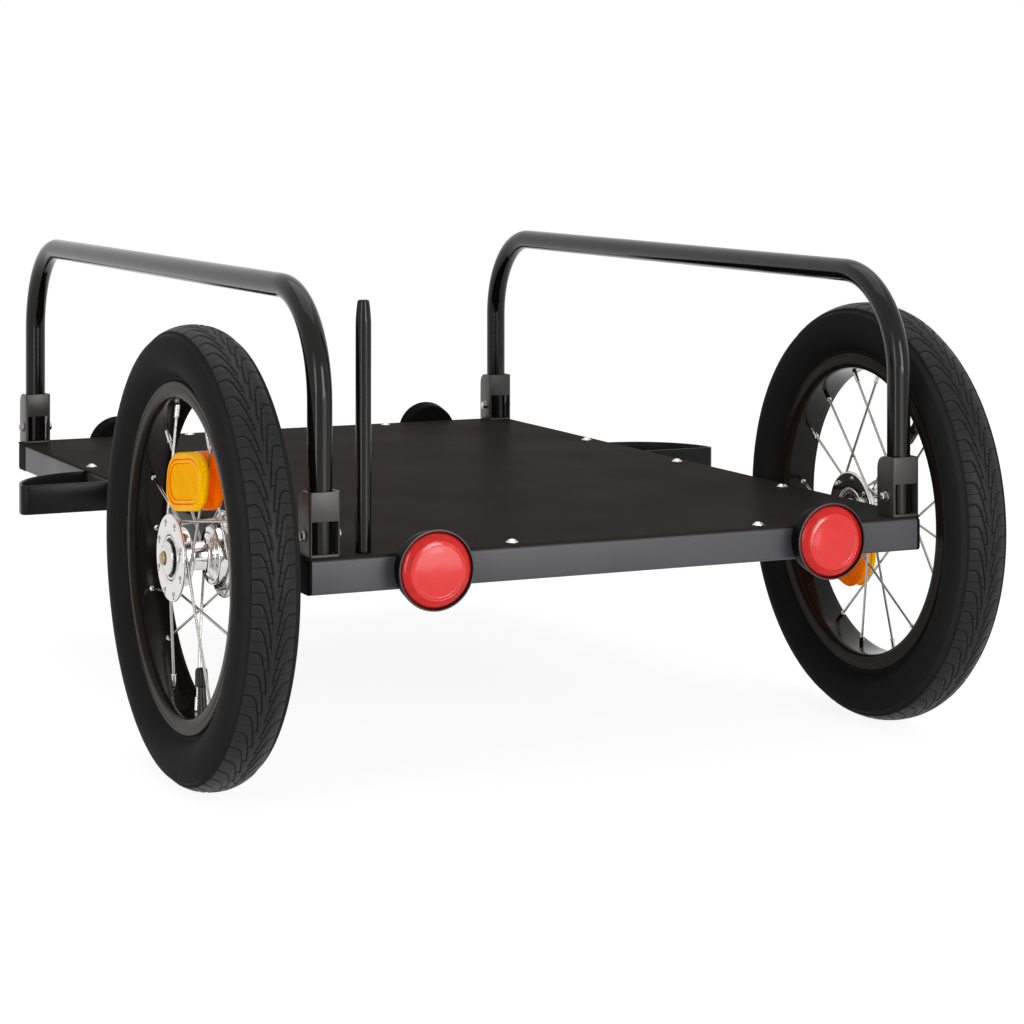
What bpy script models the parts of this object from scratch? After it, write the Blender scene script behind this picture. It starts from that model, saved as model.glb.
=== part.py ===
"""Flat-bed bicycle trailer with two spoked wheels, side hoops and round reflectors.

The trailer stands on level ground at z = 0 with its deck level. +Y points forward, towards
the bicycle, and +X points to the trailer's right. The pieces are placed from the middle of the
frame, and the whole trailer is then moved so that the origin lies on the ground under the
middle of its outline. All lengths are in metres.
"""

import math

import bmesh
import bpy
from mathutils import Matrix, Vector

MM = 0.001
GAP = 0.3 * MM                    # play left between pieces that touch

# Frame of square tube
RAIL_SIZE = 30 * MM
RAIL_WALL = 1.8 * MM
RAIL_CORNER = 2.5 * MM
FRAME_HALF_WIDTH = 306 * MM
FRAME_HALF_LENGTH = 472.5 * MM
RAIL_Z = 206 * MM                 # middle height of every rail
PLUG_THICKNESS = 3 * MM
PLUG_DEPTH = 14 * MM
CROSS_SIZE = 25 * MM
CROSS_WALL = 1.5 * MM
CENTRE_CROSS_Y = 100 * MM

# Deck cover
DECK_HALF_WIDTH = 308.5 * MM
DECK_HALF_LENGTH = 472.5 * MM
DECK_THICKNESS = 1.4 * MM
DECK_CORNER = 8 * MM
DECK_EDGE_BAND = 33 * MM
DECK_FIELD_RISE = 0.4 * MM

# Wheels
AXLE_Y = -314 * MM
AXLE_Z = 206 * MM
TRACK_HALF = 351.8 * MM
TYRE_RADIUS = 206 * MM
RIM_RADIUS = 156.5 * MM
RIM_BED_RADIUS = 140.5 * MM
RIM_HALF_WIDTH = 19 * MM
RIM_WALL = 2.3 * MM
WHEEL_STEPS = 36

# Hub, bearings and stub axle, measured out from the wheel's middle plane
FLANGE_FACE = 25.7 * MM
FLANGE_THICKNESS = 3.2 * MM
FLANGE_RADIUS = 39 * MM
HOUSING_RADIUS = 26 * MM
HOUSING_START = 11 * MM
BARREL_RADIUS = 13.8 * MM
BARREL_BORE = 10 * MM
BEARING_RADIUS = 20 * MM
BEARING_WIDTH = 12 * MM
AXLE_RADIUS = 8.2 * MM
AXLE_HEAD_RADIUS = 14.7 * MM
AXLE_HEAD_FACE = 31 * MM
AXLE_BORE = 3.4 * MM
BUTTON_RADIUS = 6 * MM
BUTTON_FACE = 34.5 * MM
BUTTON_STEM = 34 * MM
BUTTON_TRAVEL = 3 * MM
BUTTON_RECESS = 5 * MM            # depth of the pocket in the axle head that the button sinks into
BUTTON_BORE_END = 44 * MM         # from the axle head's face to the end of the bore for the stem
AXLE_END_SET = 1 * MM             # the axle ends this far inside the side rail's inner face
AXLE_SHOULDER_RADIUS = 12.2 * MM
AXLE_CLEARANCE = 1 * MM           # between the hub's faces and the axle's head and shoulder
AXLE_HEAD_EDGE = 2.2 * MM
BUSH_RADIUS = 12.5 * MM
BUSH_COLLAR_RADIUS = 14.5 * MM
BUSH_COLLAR = 4 * MM

# Spokes
SPOKES_PER_FLANGE = 8
SPOKE_RADIUS = 1.1 * MM
HEAD_RING_HALF = 1.5 * MM         # half the thickness of the ring that joins the spoke heads
SPOKE_CIRCLE = 33 * MM
SPOKE_CROSSING = 90.0             # degrees from a spoke's hole round to its nipple, either way
NIPPLE_RADIUS = 2.3 * MM
NIPPLE_LENGTH = 12 * MM
NIPPLE_END_RADIUS = 139 * MM      # clear of the flats of the rim's many-sided bed
NIPPLE_OFFSET = 3 * MM            # nipples stand this far to each side of the rim's middle
OUTER_HOLES_START = 67.5          # degrees to the first hole whose spoke leans forward
INNER_HOLES_START = 45.0
LEFT_SPOKES_TURN = 2.3            # degrees that each wheel stands turned, with its valve in a wide gap
RIGHT_SPOKES_TURN = 52.0

# Amber reflector clamped on the outer spokes
AMBER_OUTER_WIDTH = 98 * MM
AMBER_INNER_WIDTH = 84 * MM
AMBER_HEIGHT = 50 * MM
AMBER_CORNER = 17 * MM
AMBER_SHELL = 6.8 * MM
AMBER_GAP = 6.8 * MM
AMBER_RADIUS = 80 * MM            # from the axle to the middle of the reflector
LEFT_AMBER_ANGLE = 118.0
LEFT_AMBER_TILT = 83.0            # degrees, direction of the reflector's own up line
RIGHT_AMBER_ANGLE = -35.0
RIGHT_AMBER_TILT = -70.0

# Valve
VALVE_TIP_RADIUS = 98 * MM
VALVE_STEM_RADIUS = 4 * MM
VALVE_NECK_RADIUS = 3.4 * MM
VALVE_FOOT_RADIUS = 6.5 * MM
VALVE_FOOT = 2 * MM
VALVE_CAP_RADIUS = 6.2 * MM
VALVE_CAP_TOP_RADIUS = 5.4 * MM
VALVE_CAP_LENGTH = 16 * MM
LEFT_VALVE_ANGLE = -96.5
RIGHT_VALVE_ANGLE = 131.0

# Hoops, their brackets and bolts
HOOP_X = 290.5 * MM
HOOP_RADIUS = 11 * MM
HOOP_WALL = 1.5 * MM
HOOP_TOP_Z = 448.5 * MM
HOOP_BEND = 95 * MM
HOOP_REAR_Y = -459 * MM
HOOP_FRONT_Y = 456.5 * MM
HOOP_SIDES = 12
HOOP_BEND_STEPS = 5
BRACKET_HALF_WIDTH = 14.2 * MM
BRACKET_REAR = 13.5 * MM
BRACKET_FRONT = 15.2 * MM
BRACKET_HEIGHT = 55.6 * MM
BRACKET_WINDOW_TOP = 30.4 * MM
BRACKET_SHEET = 2.2 * MM
BRACKET_CORNER = 11 * MM
BOLT_RADIUS = 3 * MM
BOLT_HEAD_RADIUS = 5.2 * MM
BOLT_HEAD_TOP_RADIUS = 3 * MM
BOLT_HEAD_HEIGHT = 4.2 * MM
NUT_HEIGHT = 4.8 * MM
BOLT_HEIGHT = 17.5 * MM           # above the underside of the bracket

# Flag pole socket
SOCKET_X = -249.7 * MM
SOCKET_Y = -457.2 * MM
SOCKET_TOP_Z = 440 * MM
SOCKET_RADIUS = 6.85 * MM
SOCKET_MOUTH_RADIUS = 4.9 * MM
SOCKET_TAPER = 17 * MM
SOCKET_BORE = 3.4 * MM
SOCKET_FLOOR = 8 * MM

# Wheel guards
GUARD_REAR_Y = 100 * MM
GUARD_REACH = 94.5 * MM
GUARD_STRIP = 3 * MM
GUARD_TIP_FILLET = 7 * MM
GUARD_TIP_STEPS = 4
GUARD_ARC_STEPS = 12

# Round reflectors on the rear and front rails
REFLECTOR_Z = 208.8 * MM
CUP_BACK_RADIUS = 32 * MM
CUP_RIM_RADIUS = 35.3 * MM
CUP_DEPTH = 21.5 * MM
CUP_WALL = 1.6 * MM
CUP_FLOOR = 3 * MM
CUP_LIP = 2.5 * MM
LENS_SEAT = 17 * MM               # from the cup's back to the step that the lens sits on
LENS_RADIUS = 33.2 * MM
LENS_SHOULDER = 23.9 * MM
LENS_FRONT = 25 * MM
REAR_REFLECTOR_X = (-196.6 * MM, 196.6 * MM)
FRONT_REFLECTOR_X = (-182 * MM, 211 * MM)

# Drawbar receiver
RECEIVER_SIZE = 32 * MM
RECEIVER_WALL = 2.5 * MM
RECEIVER_LENGTH = 150 * MM
RECEIVER_PIN_RADIUS = 4.2 * MM
RECEIVER_PIN_SET = 45 * MM        # the pin hole's distance behind the receiver's front end

# Places that follow from the sizes above
RAIL_TOP_Z = RAIL_Z + RAIL_SIZE / 2
RAIL_BOTTOM_Z = RAIL_Z - RAIL_SIZE / 2
DECK_Z = RAIL_TOP_Z + GAP
DECK_TOP_Z = DECK_Z + DECK_THICKNESS
FOOT_Z = DECK_TOP_Z + GAP
HEAD_RING_PLANE = FLANGE_FACE - FLANGE_THICKNESS - GAP - HEAD_RING_HALF

FINISHES = {
    "powder_grey": ((0.10, 0.10, 0.105), 0.42, 0.3),
    "black_plastic": ((0.012, 0.012, 0.012), 0.5, 0.0),
    "deck_cloth": ((0.033, 0.028, 0.025), 0.8, 0.0),
    "gloss_black_steel": ((0.012, 0.011, 0.010), 0.18, 0.4),
    "guard_black": ((0.015, 0.015, 0.015), 0.45, 0.2),
    "zinc_steel": ((0.62, 0.61, 0.58), 0.28, 1.0),
    "chrome": ((0.80, 0.79, 0.77), 0.08, 1.0),
    "bearing_seal": ((0.02, 0.02, 0.02), 0.4, 0.0),
    "tyre_rubber": ((0.016, 0.016, 0.016), 0.75, 0.0),
    "rim_black": ((0.018, 0.015, 0.013), 0.16, 0.6),
    "red_lens": ((0.75, 0.015, 0.012), 0.1, 0.0),
    "clear_lens": ((0.80, 0.81, 0.82), 0.1, 0.0),
    "amber_lens": ((0.85, 0.33, 0.01), 0.15, 0.0),
}


def clear_scene():
    for item in list(bpy.data.objects):
        bpy.data.objects.remove(item, do_unlink=True)


def finish(name):
    """Return the material of one finish, made the first time it is asked for."""
    material = bpy.data.materials.get(name)
    if material is None:
        material = bpy.data.materials.new(name)
        material.use_nodes = True
        colour, roughness, metallic = FINISHES[name]
        shader = material.node_tree.nodes["Principled BSDF"]
        shader.inputs["Base Color"].default_value = (*colour, 1.0)
        shader.inputs["Roughness"].default_value = roughness
        shader.inputs["Metallic"].default_value = metallic
    return material


def empty(name, location):
    """Add an axis marker that carries the pieces turning or sliding on it."""
    holder = bpy.data.objects.new(name, None)
    holder.location = location
    holder.empty_display_size = 0.05
    bpy.context.scene.collection.objects.link(holder)
    return holder


def place(name, mesh, material, location=(0, 0, 0), parent=None):
    """Link a mesh as the object of one sub-part."""
    piece = bpy.data.objects.new(name, mesh)
    piece.location = location
    piece.parent = parent
    mesh.materials.append(finish(material))
    bpy.context.scene.collection.objects.link(piece)
    return piece


def smooth(mesh, angle=35.0):
    mesh.shade_smooth()
    mesh.set_sharp_from_angle(angle=math.radians(angle))


def mesh_from(bm, name):
    """Close a bmesh into a mesh with its faces pointing out."""
    bmesh.ops.recalc_face_normals(bm, faces=bm.faces)
    mesh = bpy.data.meshes.new(name)
    bm.to_mesh(mesh)
    bm.free()
    smooth(mesh)
    return mesh


def turned(name, profile, axis="X", steps=32, ring=True):
    """Spin a profile of (place along the axis, radius) points round the axis.

    A ring's profile is a closed loop clear of the axis. Otherwise it runs from the axis
    out and back to the axis.
    """
    bm = bmesh.new()
    along = Vector((1, 0, 0)) if axis == "X" else Vector((0, 1, 0)) if axis == "Y" else Vector((0, 0, 1))
    out = Vector((0, 0, 1)) if axis != "Z" else Vector((1, 0, 0))
    points = [bm.verts.new(along * a + out * r) for a, r in profile]
    edges = [bm.edges.new(pair) for pair in zip(points, points[1:])]
    if ring:
        edges.append(bm.edges.new((points[-1], points[0])))
    bmesh.ops.spin(bm, geom=points + edges, cent=(0, 0, 0), axis=along,
                   angle=math.tau, steps=steps, use_merge=True)
    bmesh.ops.remove_doubles(bm, verts=bm.verts, dist=0.00001)
    return mesh_from(bm, name)


def rounded_rectangle(width, height, radius, steps=2):
    """Outline points of a rectangle with round corners, counter-clockwise about (0, 0)."""
    points = []
    for quarter, (sx, sy) in enumerate(((1, 1), (-1, 1), (-1, -1), (1, -1))):
        cx = sx * (width / 2 - radius)
        cy = sy * (height / 2 - radius)
        for step in range(steps + 1):
            angle = math.radians(90 * (quarter + step / steps))
            points.append((cx + radius * math.cos(angle), cy + radius * math.sin(angle)))
    return points


def oriented(u, v, w, axis):
    """Turn (across, up, along) into x, y, z for a piece that runs along an axis."""
    if axis == "X":
        return (w, u, v)
    if axis == "Y":
        return (u, w, v)
    return (u, v, w)


def extruded(name, outline, low, high, axis="Z", hole=None):
    """Extrude an outline along an axis, as a bar or, with a hole outline, as a tube."""
    bm = bmesh.new()
    loops = []
    for ends in (outline, hole or []):
        for place_along in (low, high):
            loops.append([bm.verts.new(oriented(u, v, place_along, axis)) for u, v in ends])
    count = len(outline)
    for near, far in ((loops[0], loops[1]), (loops[2], loops[3])):
        for i in range(len(near)):
            j = (i + 1) % count
            bm.faces.new((near[i], near[j], far[j], far[i]))
    for solid_end, hole_end in ((loops[0], loops[2]), (loops[1], loops[3])):
        if hole:
            for i in range(count):
                j = (i + 1) % count
                bm.faces.new((solid_end[i], solid_end[j], hole_end[j], hole_end[i]))
        else:
            bm.faces.new(solid_end)
    return mesh_from(bm, name)


def square_tube(name, size, wall, corner, low, high, axis):
    """A length of square tube with rounded edges, open at both ends."""
    inside = size - 2 * wall
    return extruded(name, rounded_rectangle(size, size, corner), low, high, axis,
                    hole=rounded_rectangle(inside, inside, max(corner - wall, 0.4 * MM)))


def cutter(name, mesh, location=(0, 0, 0), parent=None):
    """A hidden solid that only cuts or joins another piece."""
    tool = bpy.data.objects.new(name, mesh)
    tool.location = location
    tool.parent = parent
    tool.hide_render = True
    tool.display_type = "WIRE"
    bpy.context.scene.collection.objects.link(tool)
    return tool


def combine(piece, tool, operation="DIFFERENCE"):
    step = piece.modifiers.new(tool.name, "BOOLEAN")
    step.operation = operation
    step.object = tool
    step.solver = "EXACT"


def rod(name, radius, low, high, axis, steps=16):
    return turned(name, [(low, 0), (low, radius), (high, radius), (high, 0)], axis, steps, ring=False)


def side_name(side):
    return "left" if side < 0 else "right"


def build_side_rail(side):
    """Side rail between the rear and front rails, bored for the axle bush."""
    half = FRAME_HALF_LENGTH - RAIL_SIZE - GAP
    name = side_name(side) + "_side_rail"
    mesh = square_tube(name, RAIL_SIZE, RAIL_WALL, RAIL_CORNER, -half, half, "Y")
    x = side * (FRAME_HALF_WIDTH - RAIL_SIZE / 2)
    rail = place(name, mesh, "powder_grey", (x, 0, RAIL_Z))
    bore = rod(name + "_bore", BUSH_RADIUS + GAP, -RAIL_SIZE, RAIL_SIZE, "X", 16)
    combine(rail, cutter(name + "_bore_cutter", bore, (x, AXLE_Y, AXLE_Z)))


def build_end_rail(end, name):
    """Rear or front rail across the full width, with a plug in each open end."""
    half = FRAME_HALF_WIDTH - PLUG_THICKNESS - GAP
    mesh = square_tube(name, RAIL_SIZE, RAIL_WALL, RAIL_CORNER, -half, half, "X")
    y = end * (FRAME_HALF_LENGTH - RAIL_SIZE / 2)
    place(name, mesh, "powder_grey", (0, y, RAIL_Z))
    for side in (-1, 1):
        plug_name = f"{name.split('_')[0]}_{side_name(side)}_end_plug"
        build_end_plug(plug_name, side, y)


def build_end_plug(name, side, y):
    """Plastic plug: a cap over the tube end and a smaller block inside it."""
    cap_outline = rounded_rectangle(RAIL_SIZE, RAIL_SIZE, RAIL_CORNER)
    core_size = RAIL_SIZE - 2 * (RAIL_WALL + GAP)
    outer = side * FRAME_HALF_WIDTH
    inner = side * (FRAME_HALF_WIDTH - PLUG_THICKNESS)
    cap = extruded(name, cap_outline, min(inner, outer), max(inner, outer), "X")
    plug = place(name, cap, "black_plastic", (0, y, RAIL_Z))
    deep = side * (FRAME_HALF_WIDTH - PLUG_DEPTH)
    mid = side * (FRAME_HALF_WIDTH - PLUG_THICKNESS / 2)
    core = extruded(name + "_core", rounded_rectangle(core_size, core_size, 1 * MM, 2),
                    min(deep, mid), max(deep, mid), "X")
    combine(plug, cutter(name + "_core_solid", core, (0, y, RAIL_Z)), "UNION")


def build_cross_members():
    half = FRAME_HALF_WIDTH - RAIL_SIZE - GAP
    for name, y in (("axle_cross_tube", AXLE_Y), ("centre_cross_member", CENTRE_CROSS_Y)):
        mesh = square_tube(name, CROSS_SIZE, CROSS_WALL, 2 * MM, -half, half, "X")
        place(name, mesh, "powder_grey", (0, y, RAIL_Z))


def build_receiver():
    """Square socket for a drawbar, under the front rail and running back below the deck."""
    z = RAIL_BOTTOM_Z - GAP - RECEIVER_SIZE / 2
    front = FRAME_HALF_LENGTH
    mesh = square_tube("drawbar_receiver", RECEIVER_SIZE, RECEIVER_WALL, RAIL_CORNER,
                       front - RECEIVER_LENGTH, front, "Y")
    receiver = place("drawbar_receiver", mesh, "powder_grey", (0, 0, z))
    hole = rod("receiver_pin_hole", RECEIVER_PIN_RADIUS, -RECEIVER_SIZE, RECEIVER_SIZE, "Z", 16)
    combine(receiver, cutter("receiver_pin_cutter", hole, (0, front - RECEIVER_PIN_SET, z)))


def build_deck():
    """Taut sheet over the whole frame, lying on the rails.

    The feet and screws press its edge band down, so the field between them stands a little
    prouder and is one clear level face for a load.
    """
    bm = bmesh.new()
    loops = []
    for inset, z in ((0, DECK_Z), (0, DECK_TOP_Z), (DECK_EDGE_BAND, DECK_TOP_Z),
                     (DECK_EDGE_BAND, DECK_TOP_Z + DECK_FIELD_RISE)):
        outline = rounded_rectangle(2 * (DECK_HALF_WIDTH - inset), 2 * (DECK_HALF_LENGTH - inset),
                                    DECK_CORNER, 4)
        loops.append([bm.verts.new((x, y, z)) for x, y in outline])
    count = len(loops[0])
    for near, far in zip(loops, loops[1:]):
        for i in range(count):
            j = (i + 1) % count
            bm.faces.new((near[i], near[j], far[j], far[i]))
    bm.faces.new(loops[0])
    bm.faces.new(loops[-1])
    place("deck_cover", mesh_from(bm, "deck_cover"), "deck_cloth")


def guard_path(offset):
    """One edge of the strip, seen from above, at a distance inside the outer face.

    It runs out along the straight rear wall, round the small tip fillet and back to the rail
    on a quarter circle.
    """
    reach = GUARD_REACH - offset
    fillet = GUARD_TIP_FILLET - offset
    start = FRAME_HALF_WIDTH + GAP
    tip_x = math.sqrt((reach - fillet) ** 2 - GUARD_TIP_FILLET ** 2)
    turn = math.atan2(GUARD_TIP_FILLET, tip_x)
    points = [(start, GUARD_REAR_Y + offset)]
    for step in range(GUARD_TIP_STEPS + 1):
        angle = -math.pi / 2 + (math.pi / 2 + turn) * step / GUARD_TIP_STEPS
        points.append((start + tip_x + fillet * math.cos(angle),
                       GUARD_REAR_Y + GUARD_TIP_FILLET + fillet * math.sin(angle)))
    for step in range(1, GUARD_ARC_STEPS + 1):
        angle = turn + (math.pi / 2 - turn) * step / GUARD_ARC_STEPS
        points.append((start + reach * math.cos(angle), GUARD_REAR_Y + reach * math.sin(angle)))
    return points


def build_guard(side):
    """Strip bent to a quarter-round loop on the side rail, ahead of the wheel."""
    outline = guard_path(0.0) + guard_path(GUARD_STRIP)[::-1]
    outline = [(side * x, y) for x, y in outline]
    name = side_name(side) + "_wheel_guard"
    mesh = extruded(name, outline, RAIL_BOTTOM_Z, RAIL_TOP_Z, "Z")
    place(name, mesh, "guard_black")


def build_bracket(name, x, y):
    """Folded sheet foot: two side plates, a floor and a rear plate above an open window."""
    half, rear, front = BRACKET_HALF_WIDTH, -BRACKET_REAR, BRACKET_FRONT
    top, window, sheet = BRACKET_HEIGHT, BRACKET_WINDOW_TOP, BRACKET_SHEET
    outline = [(rear, 0), (front, 0)]
    for step in range(4):
        angle = math.radians(90 * step / 3)
        outline.append((front - BRACKET_CORNER * (1 - math.cos(angle)),
                        top - BRACKET_CORNER * (1 - math.sin(angle))))
    outline.append((rear, top))
    bracket = place(name, extruded(name, outline, -half, half, "X"), "gloss_black_steel", (x, y, FOOT_Z))
    past = 5 * MM
    space = [(rear - past, sheet), (front + past, sheet), (front + past, top + past),
             (rear + sheet, top + past), (rear + sheet, window), (rear - past, window)]
    pocket = extruded(name + "_pocket", space, sheet - half, half - sheet, "X")
    combine(bracket, cutter(name + "_pocket_cutter", pocket, (x, y, FOOT_Z)))
    return bracket


def build_hoop(side):
    """Bent tube from the rear foot up, forward and down to the front foot."""
    foot = FOOT_Z + BRACKET_SHEET + GAP
    path = [(HOOP_REAR_Y, foot, 0.0)]
    for step in range(HOOP_BEND_STEPS + 1):
        angle = math.radians(90 * step / HOOP_BEND_STEPS)
        path.append((HOOP_REAR_Y + HOOP_BEND * (1 - math.cos(angle)),
                     HOOP_TOP_Z - HOOP_BEND * (1 - math.sin(angle)), angle))
    for step in range(HOOP_BEND_STEPS + 1):
        angle = math.radians(90 * step / HOOP_BEND_STEPS)
        path.append((HOOP_FRONT_Y - HOOP_BEND * (1 - math.sin(angle)),
                     HOOP_TOP_Z - HOOP_BEND * (1 - math.cos(angle)), math.pi / 2 + angle))
    path.append((HOOP_FRONT_Y, foot, math.pi))
    bm = bmesh.new()
    skins = []
    for radius in (HOOP_RADIUS, HOOP_RADIUS - HOOP_WALL):
        rings = []
        for y, z, heading in path:
            outward = Vector((0, -math.cos(heading), math.sin(heading)))
            centre = Vector((0, y, z))
            ring = []
            for step in range(HOOP_SIDES):
                turn = math.tau * step / HOOP_SIDES
                ring.append(bm.verts.new(centre + radius * (math.cos(turn) * outward
                                                            + math.sin(turn) * Vector((1, 0, 0)))))
            rings.append(ring)
        skins.append(rings)
        for near, far in zip(rings, rings[1:]):
            for i in range(HOOP_SIDES):
                j = (i + 1) % HOOP_SIDES
                bm.faces.new((near[i], near[j], far[j], far[i]))
    for end in (0, -1):
        outer, inner = skins[0][end], skins[1][end]
        for i in range(HOOP_SIDES):
            j = (i + 1) % HOOP_SIDES
            bm.faces.new((outer[i], outer[j], inner[j], inner[i]))
    name = side_name(side) + "_hoop"
    return place(name, mesh_from(bm, name), "gloss_black_steel", (side * HOOP_X, 0, 0))


def bolt_profile():
    """Button head outside, shank through the bracket, nut and bolt end inside."""
    face = BRACKET_HALF_WIDTH + GAP
    head = -face - BOLT_HEAD_HEIGHT
    nut = face + NUT_HEIGHT
    return [(head, 0), (head, BOLT_HEAD_TOP_RADIUS), (-face, BOLT_HEAD_RADIUS), (-face, BOLT_RADIUS),
            (face, BOLT_RADIUS), (face, BOLT_HEAD_RADIUS), (nut, BOLT_HEAD_RADIUS), (nut, 0)]


def build_hoops_and_feet():
    hole_reach = BRACKET_HALF_WIDTH + 6 * MM
    for side in (-1, 1):
        hoop = build_hoop(side)
        for end, y in (("rear", HOOP_REAR_Y), ("front", HOOP_FRONT_Y)):
            corner = f"{end}_{side_name(side)}"
            bracket = build_bracket(corner + "_bracket", side * HOOP_X, y)
            centre = (side * HOOP_X, y, FOOT_Z + BOLT_HEIGHT)
            hole = rod(corner + "_bolt_hole", BOLT_RADIUS + GAP, -hole_reach, hole_reach, "X", 12)
            tool = cutter(corner + "_bolt_cutter", hole, centre)
            combine(bracket, tool)
            combine(hoop, tool)
            mesh = turned(corner + "_bolt", bolt_profile(), "X", 12, ring=False)
            bolt = place(corner + "_bolt", mesh, "zinc_steel", centre)
            bolt.rotation_euler = (0, 0, 0 if side < 0 else math.pi)


def build_flag_socket():
    """Upright tube with a drawn-in mouth and a blind bore for a flag pole."""
    base, top = FOOT_Z, SOCKET_TOP_Z
    floor = base + SOCKET_FLOOR
    profile = [(base, 0), (base, SOCKET_RADIUS), (top - SOCKET_TAPER, SOCKET_RADIUS),
               (top - 0.4 * SOCKET_TAPER, 0.87 * SOCKET_RADIUS), (top, SOCKET_MOUTH_RADIUS),
               (top, SOCKET_BORE), (floor, SOCKET_BORE), (floor, 0)]
    mesh = turned("flag_pole_socket", profile, "Z", 16, ring=False)
    place("flag_pole_socket", mesh, "gloss_black_steel", (SOCKET_X, SOCKET_Y, 0))


def cup_profile():
    """Reflector cup: flat back, slightly flared wall and a rim round the mouth."""
    hollow = CUP_BACK_RADIUS - CUP_WALL
    return [(0, 0), (0, CUP_BACK_RADIUS), (CUP_DEPTH - CUP_LIP, CUP_RIM_RADIUS),
            (CUP_DEPTH, CUP_RIM_RADIUS), (CUP_DEPTH, LENS_RADIUS + GAP), (LENS_SEAT, LENS_RADIUS + GAP),
            (LENS_SEAT, hollow), (CUP_FLOOR, hollow), (CUP_FLOOR, 0)]


def lens_profile():
    """Lens: flat middle, rounded shoulder and a rim set into the cup."""
    seat = LENS_SEAT + GAP
    return [(seat, 0), (seat, LENS_RADIUS), (CUP_DEPTH, LENS_RADIUS), (LENS_SHOULDER, 0.91 * LENS_RADIUS),
            (LENS_FRONT, 0.79 * LENS_RADIUS), (LENS_FRONT, 0)]


def build_reflector(name, end, x, lens_material):
    """Round reflector on the outer face of the rear or front rail."""
    y = end * (FRAME_HALF_LENGTH + GAP)
    for suffix, profile, material in (("_housing", cup_profile(), "black_plastic"),
                                      ("_lens", lens_profile(), lens_material)):
        facing = [(end * a, r) for a, r in profile]
        mesh = turned(name + suffix, facing, "Y", 20, ring=False)
        place(name + suffix, mesh, material, (x, y, REFLECTOR_Z))


def build_reflectors():
    for side in (0, 1):
        label = "left" if side == 0 else "right"
        build_reflector(f"rear_{label}_reflector", -1, REAR_REFLECTOR_X[side], "red_lens")
        build_reflector(f"front_{label}_reflector", 1, FRONT_REFLECTOR_X[side], "clear_lens")


def tyre_profile():
    """Tyre carcass: rounded tread, bulging side walls and beads inside the rim, open below."""
    half = [(16.2, 145), (16.2, 158), (28.4, 169), (27.8, 188), (18.5, 201), (7, 206)]
    inside = [(-12.2, 145), (-12.2, 158), (-18, 192)]
    outer = half + [(-s, r) for s, r in half[::-1]]
    inner = inside + [(-s, r) for s, r in inside[::-1]]
    return [(s * MM, r * MM) for s, r in outer + inner]


def rim_profile():
    """Rim: flat spoke bed, two upright side walls with rounded lips, open to the tyre."""
    w, bed, lip, t = RIM_HALF_WIDTH, RIM_BED_RADIUS, RIM_RADIUS, RIM_WALL
    half = [(w, bed), (w, lip - 1 * MM), (w - t, lip), (w - t, bed + t)]
    return half + [(-s, r) for s, r in half[::-1]]


def hub_profile():
    """Hub shell: two flanges, a wide housing for each bearing and a slim barrel."""
    seat = FLANGE_FACE - BEARING_WIDTH - 1.5 * MM
    flange = FLANGE_FACE - FLANGE_THICKNESS
    half = [(FLANGE_FACE, BEARING_RADIUS + GAP), (FLANGE_FACE, FLANGE_RADIUS), (flange, FLANGE_RADIUS),
            (flange, HOUSING_RADIUS), (HOUSING_START + 1 * MM, HOUSING_RADIUS),
            (HOUSING_START, BARREL_RADIUS)]
    bore = [(-seat, BEARING_RADIUS + GAP), (-seat, BARREL_BORE), (seat, BARREL_BORE),
            (seat, BEARING_RADIUS + GAP)]
    return half + [(-s, r) for s, r in half[::-1]] + bore


def bearing_profile():
    """Ball bearing with its seals, as one ring."""
    bore = AXLE_RADIUS + GAP
    return [(0, bore), (0, BEARING_RADIUS), (BEARING_WIDTH, BEARING_RADIUS), (BEARING_WIDTH, bore)]


def axle_profile():
    """Stub axle from inside the side rail to its round head outside the hub."""
    inner_end = FRAME_HALF_WIDTH - RAIL_SIZE + AXLE_END_SET - TRACK_HALF
    rail_face = FRAME_HALF_WIDTH + BUSH_COLLAR + 2 * GAP - TRACK_HALF
    head = FLANGE_FACE + AXLE_CLEARANCE
    recess = AXLE_HEAD_FACE - BUTTON_RECESS
    bore_end = AXLE_HEAD_FACE - BUTTON_BORE_END
    return [(inner_end, 0), (inner_end, AXLE_RADIUS), (rail_face, AXLE_RADIUS),
            (rail_face, AXLE_SHOULDER_RADIUS), (-head, AXLE_SHOULDER_RADIUS), (-head, AXLE_RADIUS),
            (head, AXLE_RADIUS), (head, AXLE_HEAD_RADIUS), (head + AXLE_HEAD_EDGE, AXLE_HEAD_RADIUS),
            (AXLE_HEAD_FACE, 0.7 * AXLE_HEAD_RADIUS), (AXLE_HEAD_FACE, BUTTON_RADIUS + GAP),
            (recess, BUTTON_RADIUS + GAP), (recess, AXLE_BORE), (bore_end, AXLE_BORE), (bore_end, 0)]


def button_profile():
    """Release button with a domed face on a long stem inside the axle."""
    face = BUTTON_FACE
    under = AXLE_HEAD_FACE - BUTTON_RECESS + BUTTON_TRAVEL + GAP
    stem_end = face - BUTTON_STEM
    return [(stem_end, 0), (stem_end, AXLE_BORE - GAP), (under, AXLE_BORE - GAP), (under, BUTTON_RADIUS),
            (face - 0.2 * BUTTON_RADIUS, BUTTON_RADIUS), (face, 0.6 * BUTTON_RADIUS), (face, 0)]


def bush_profile():
    """Collared bush that is pressed through both walls of the side rail."""
    inner = FRAME_HALF_WIDTH - RAIL_SIZE
    outer = FRAME_HALF_WIDTH + GAP
    bore = AXLE_RADIUS + GAP
    profile = [(inner, bore), (inner, BUSH_RADIUS), (outer, BUSH_RADIUS), (outer, BUSH_COLLAR_RADIUS),
               (outer + BUSH_COLLAR, BUSH_COLLAR_RADIUS), (outer + BUSH_COLLAR, bore)]
    return [(a - TRACK_HALF, r) for a, r in profile]


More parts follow.
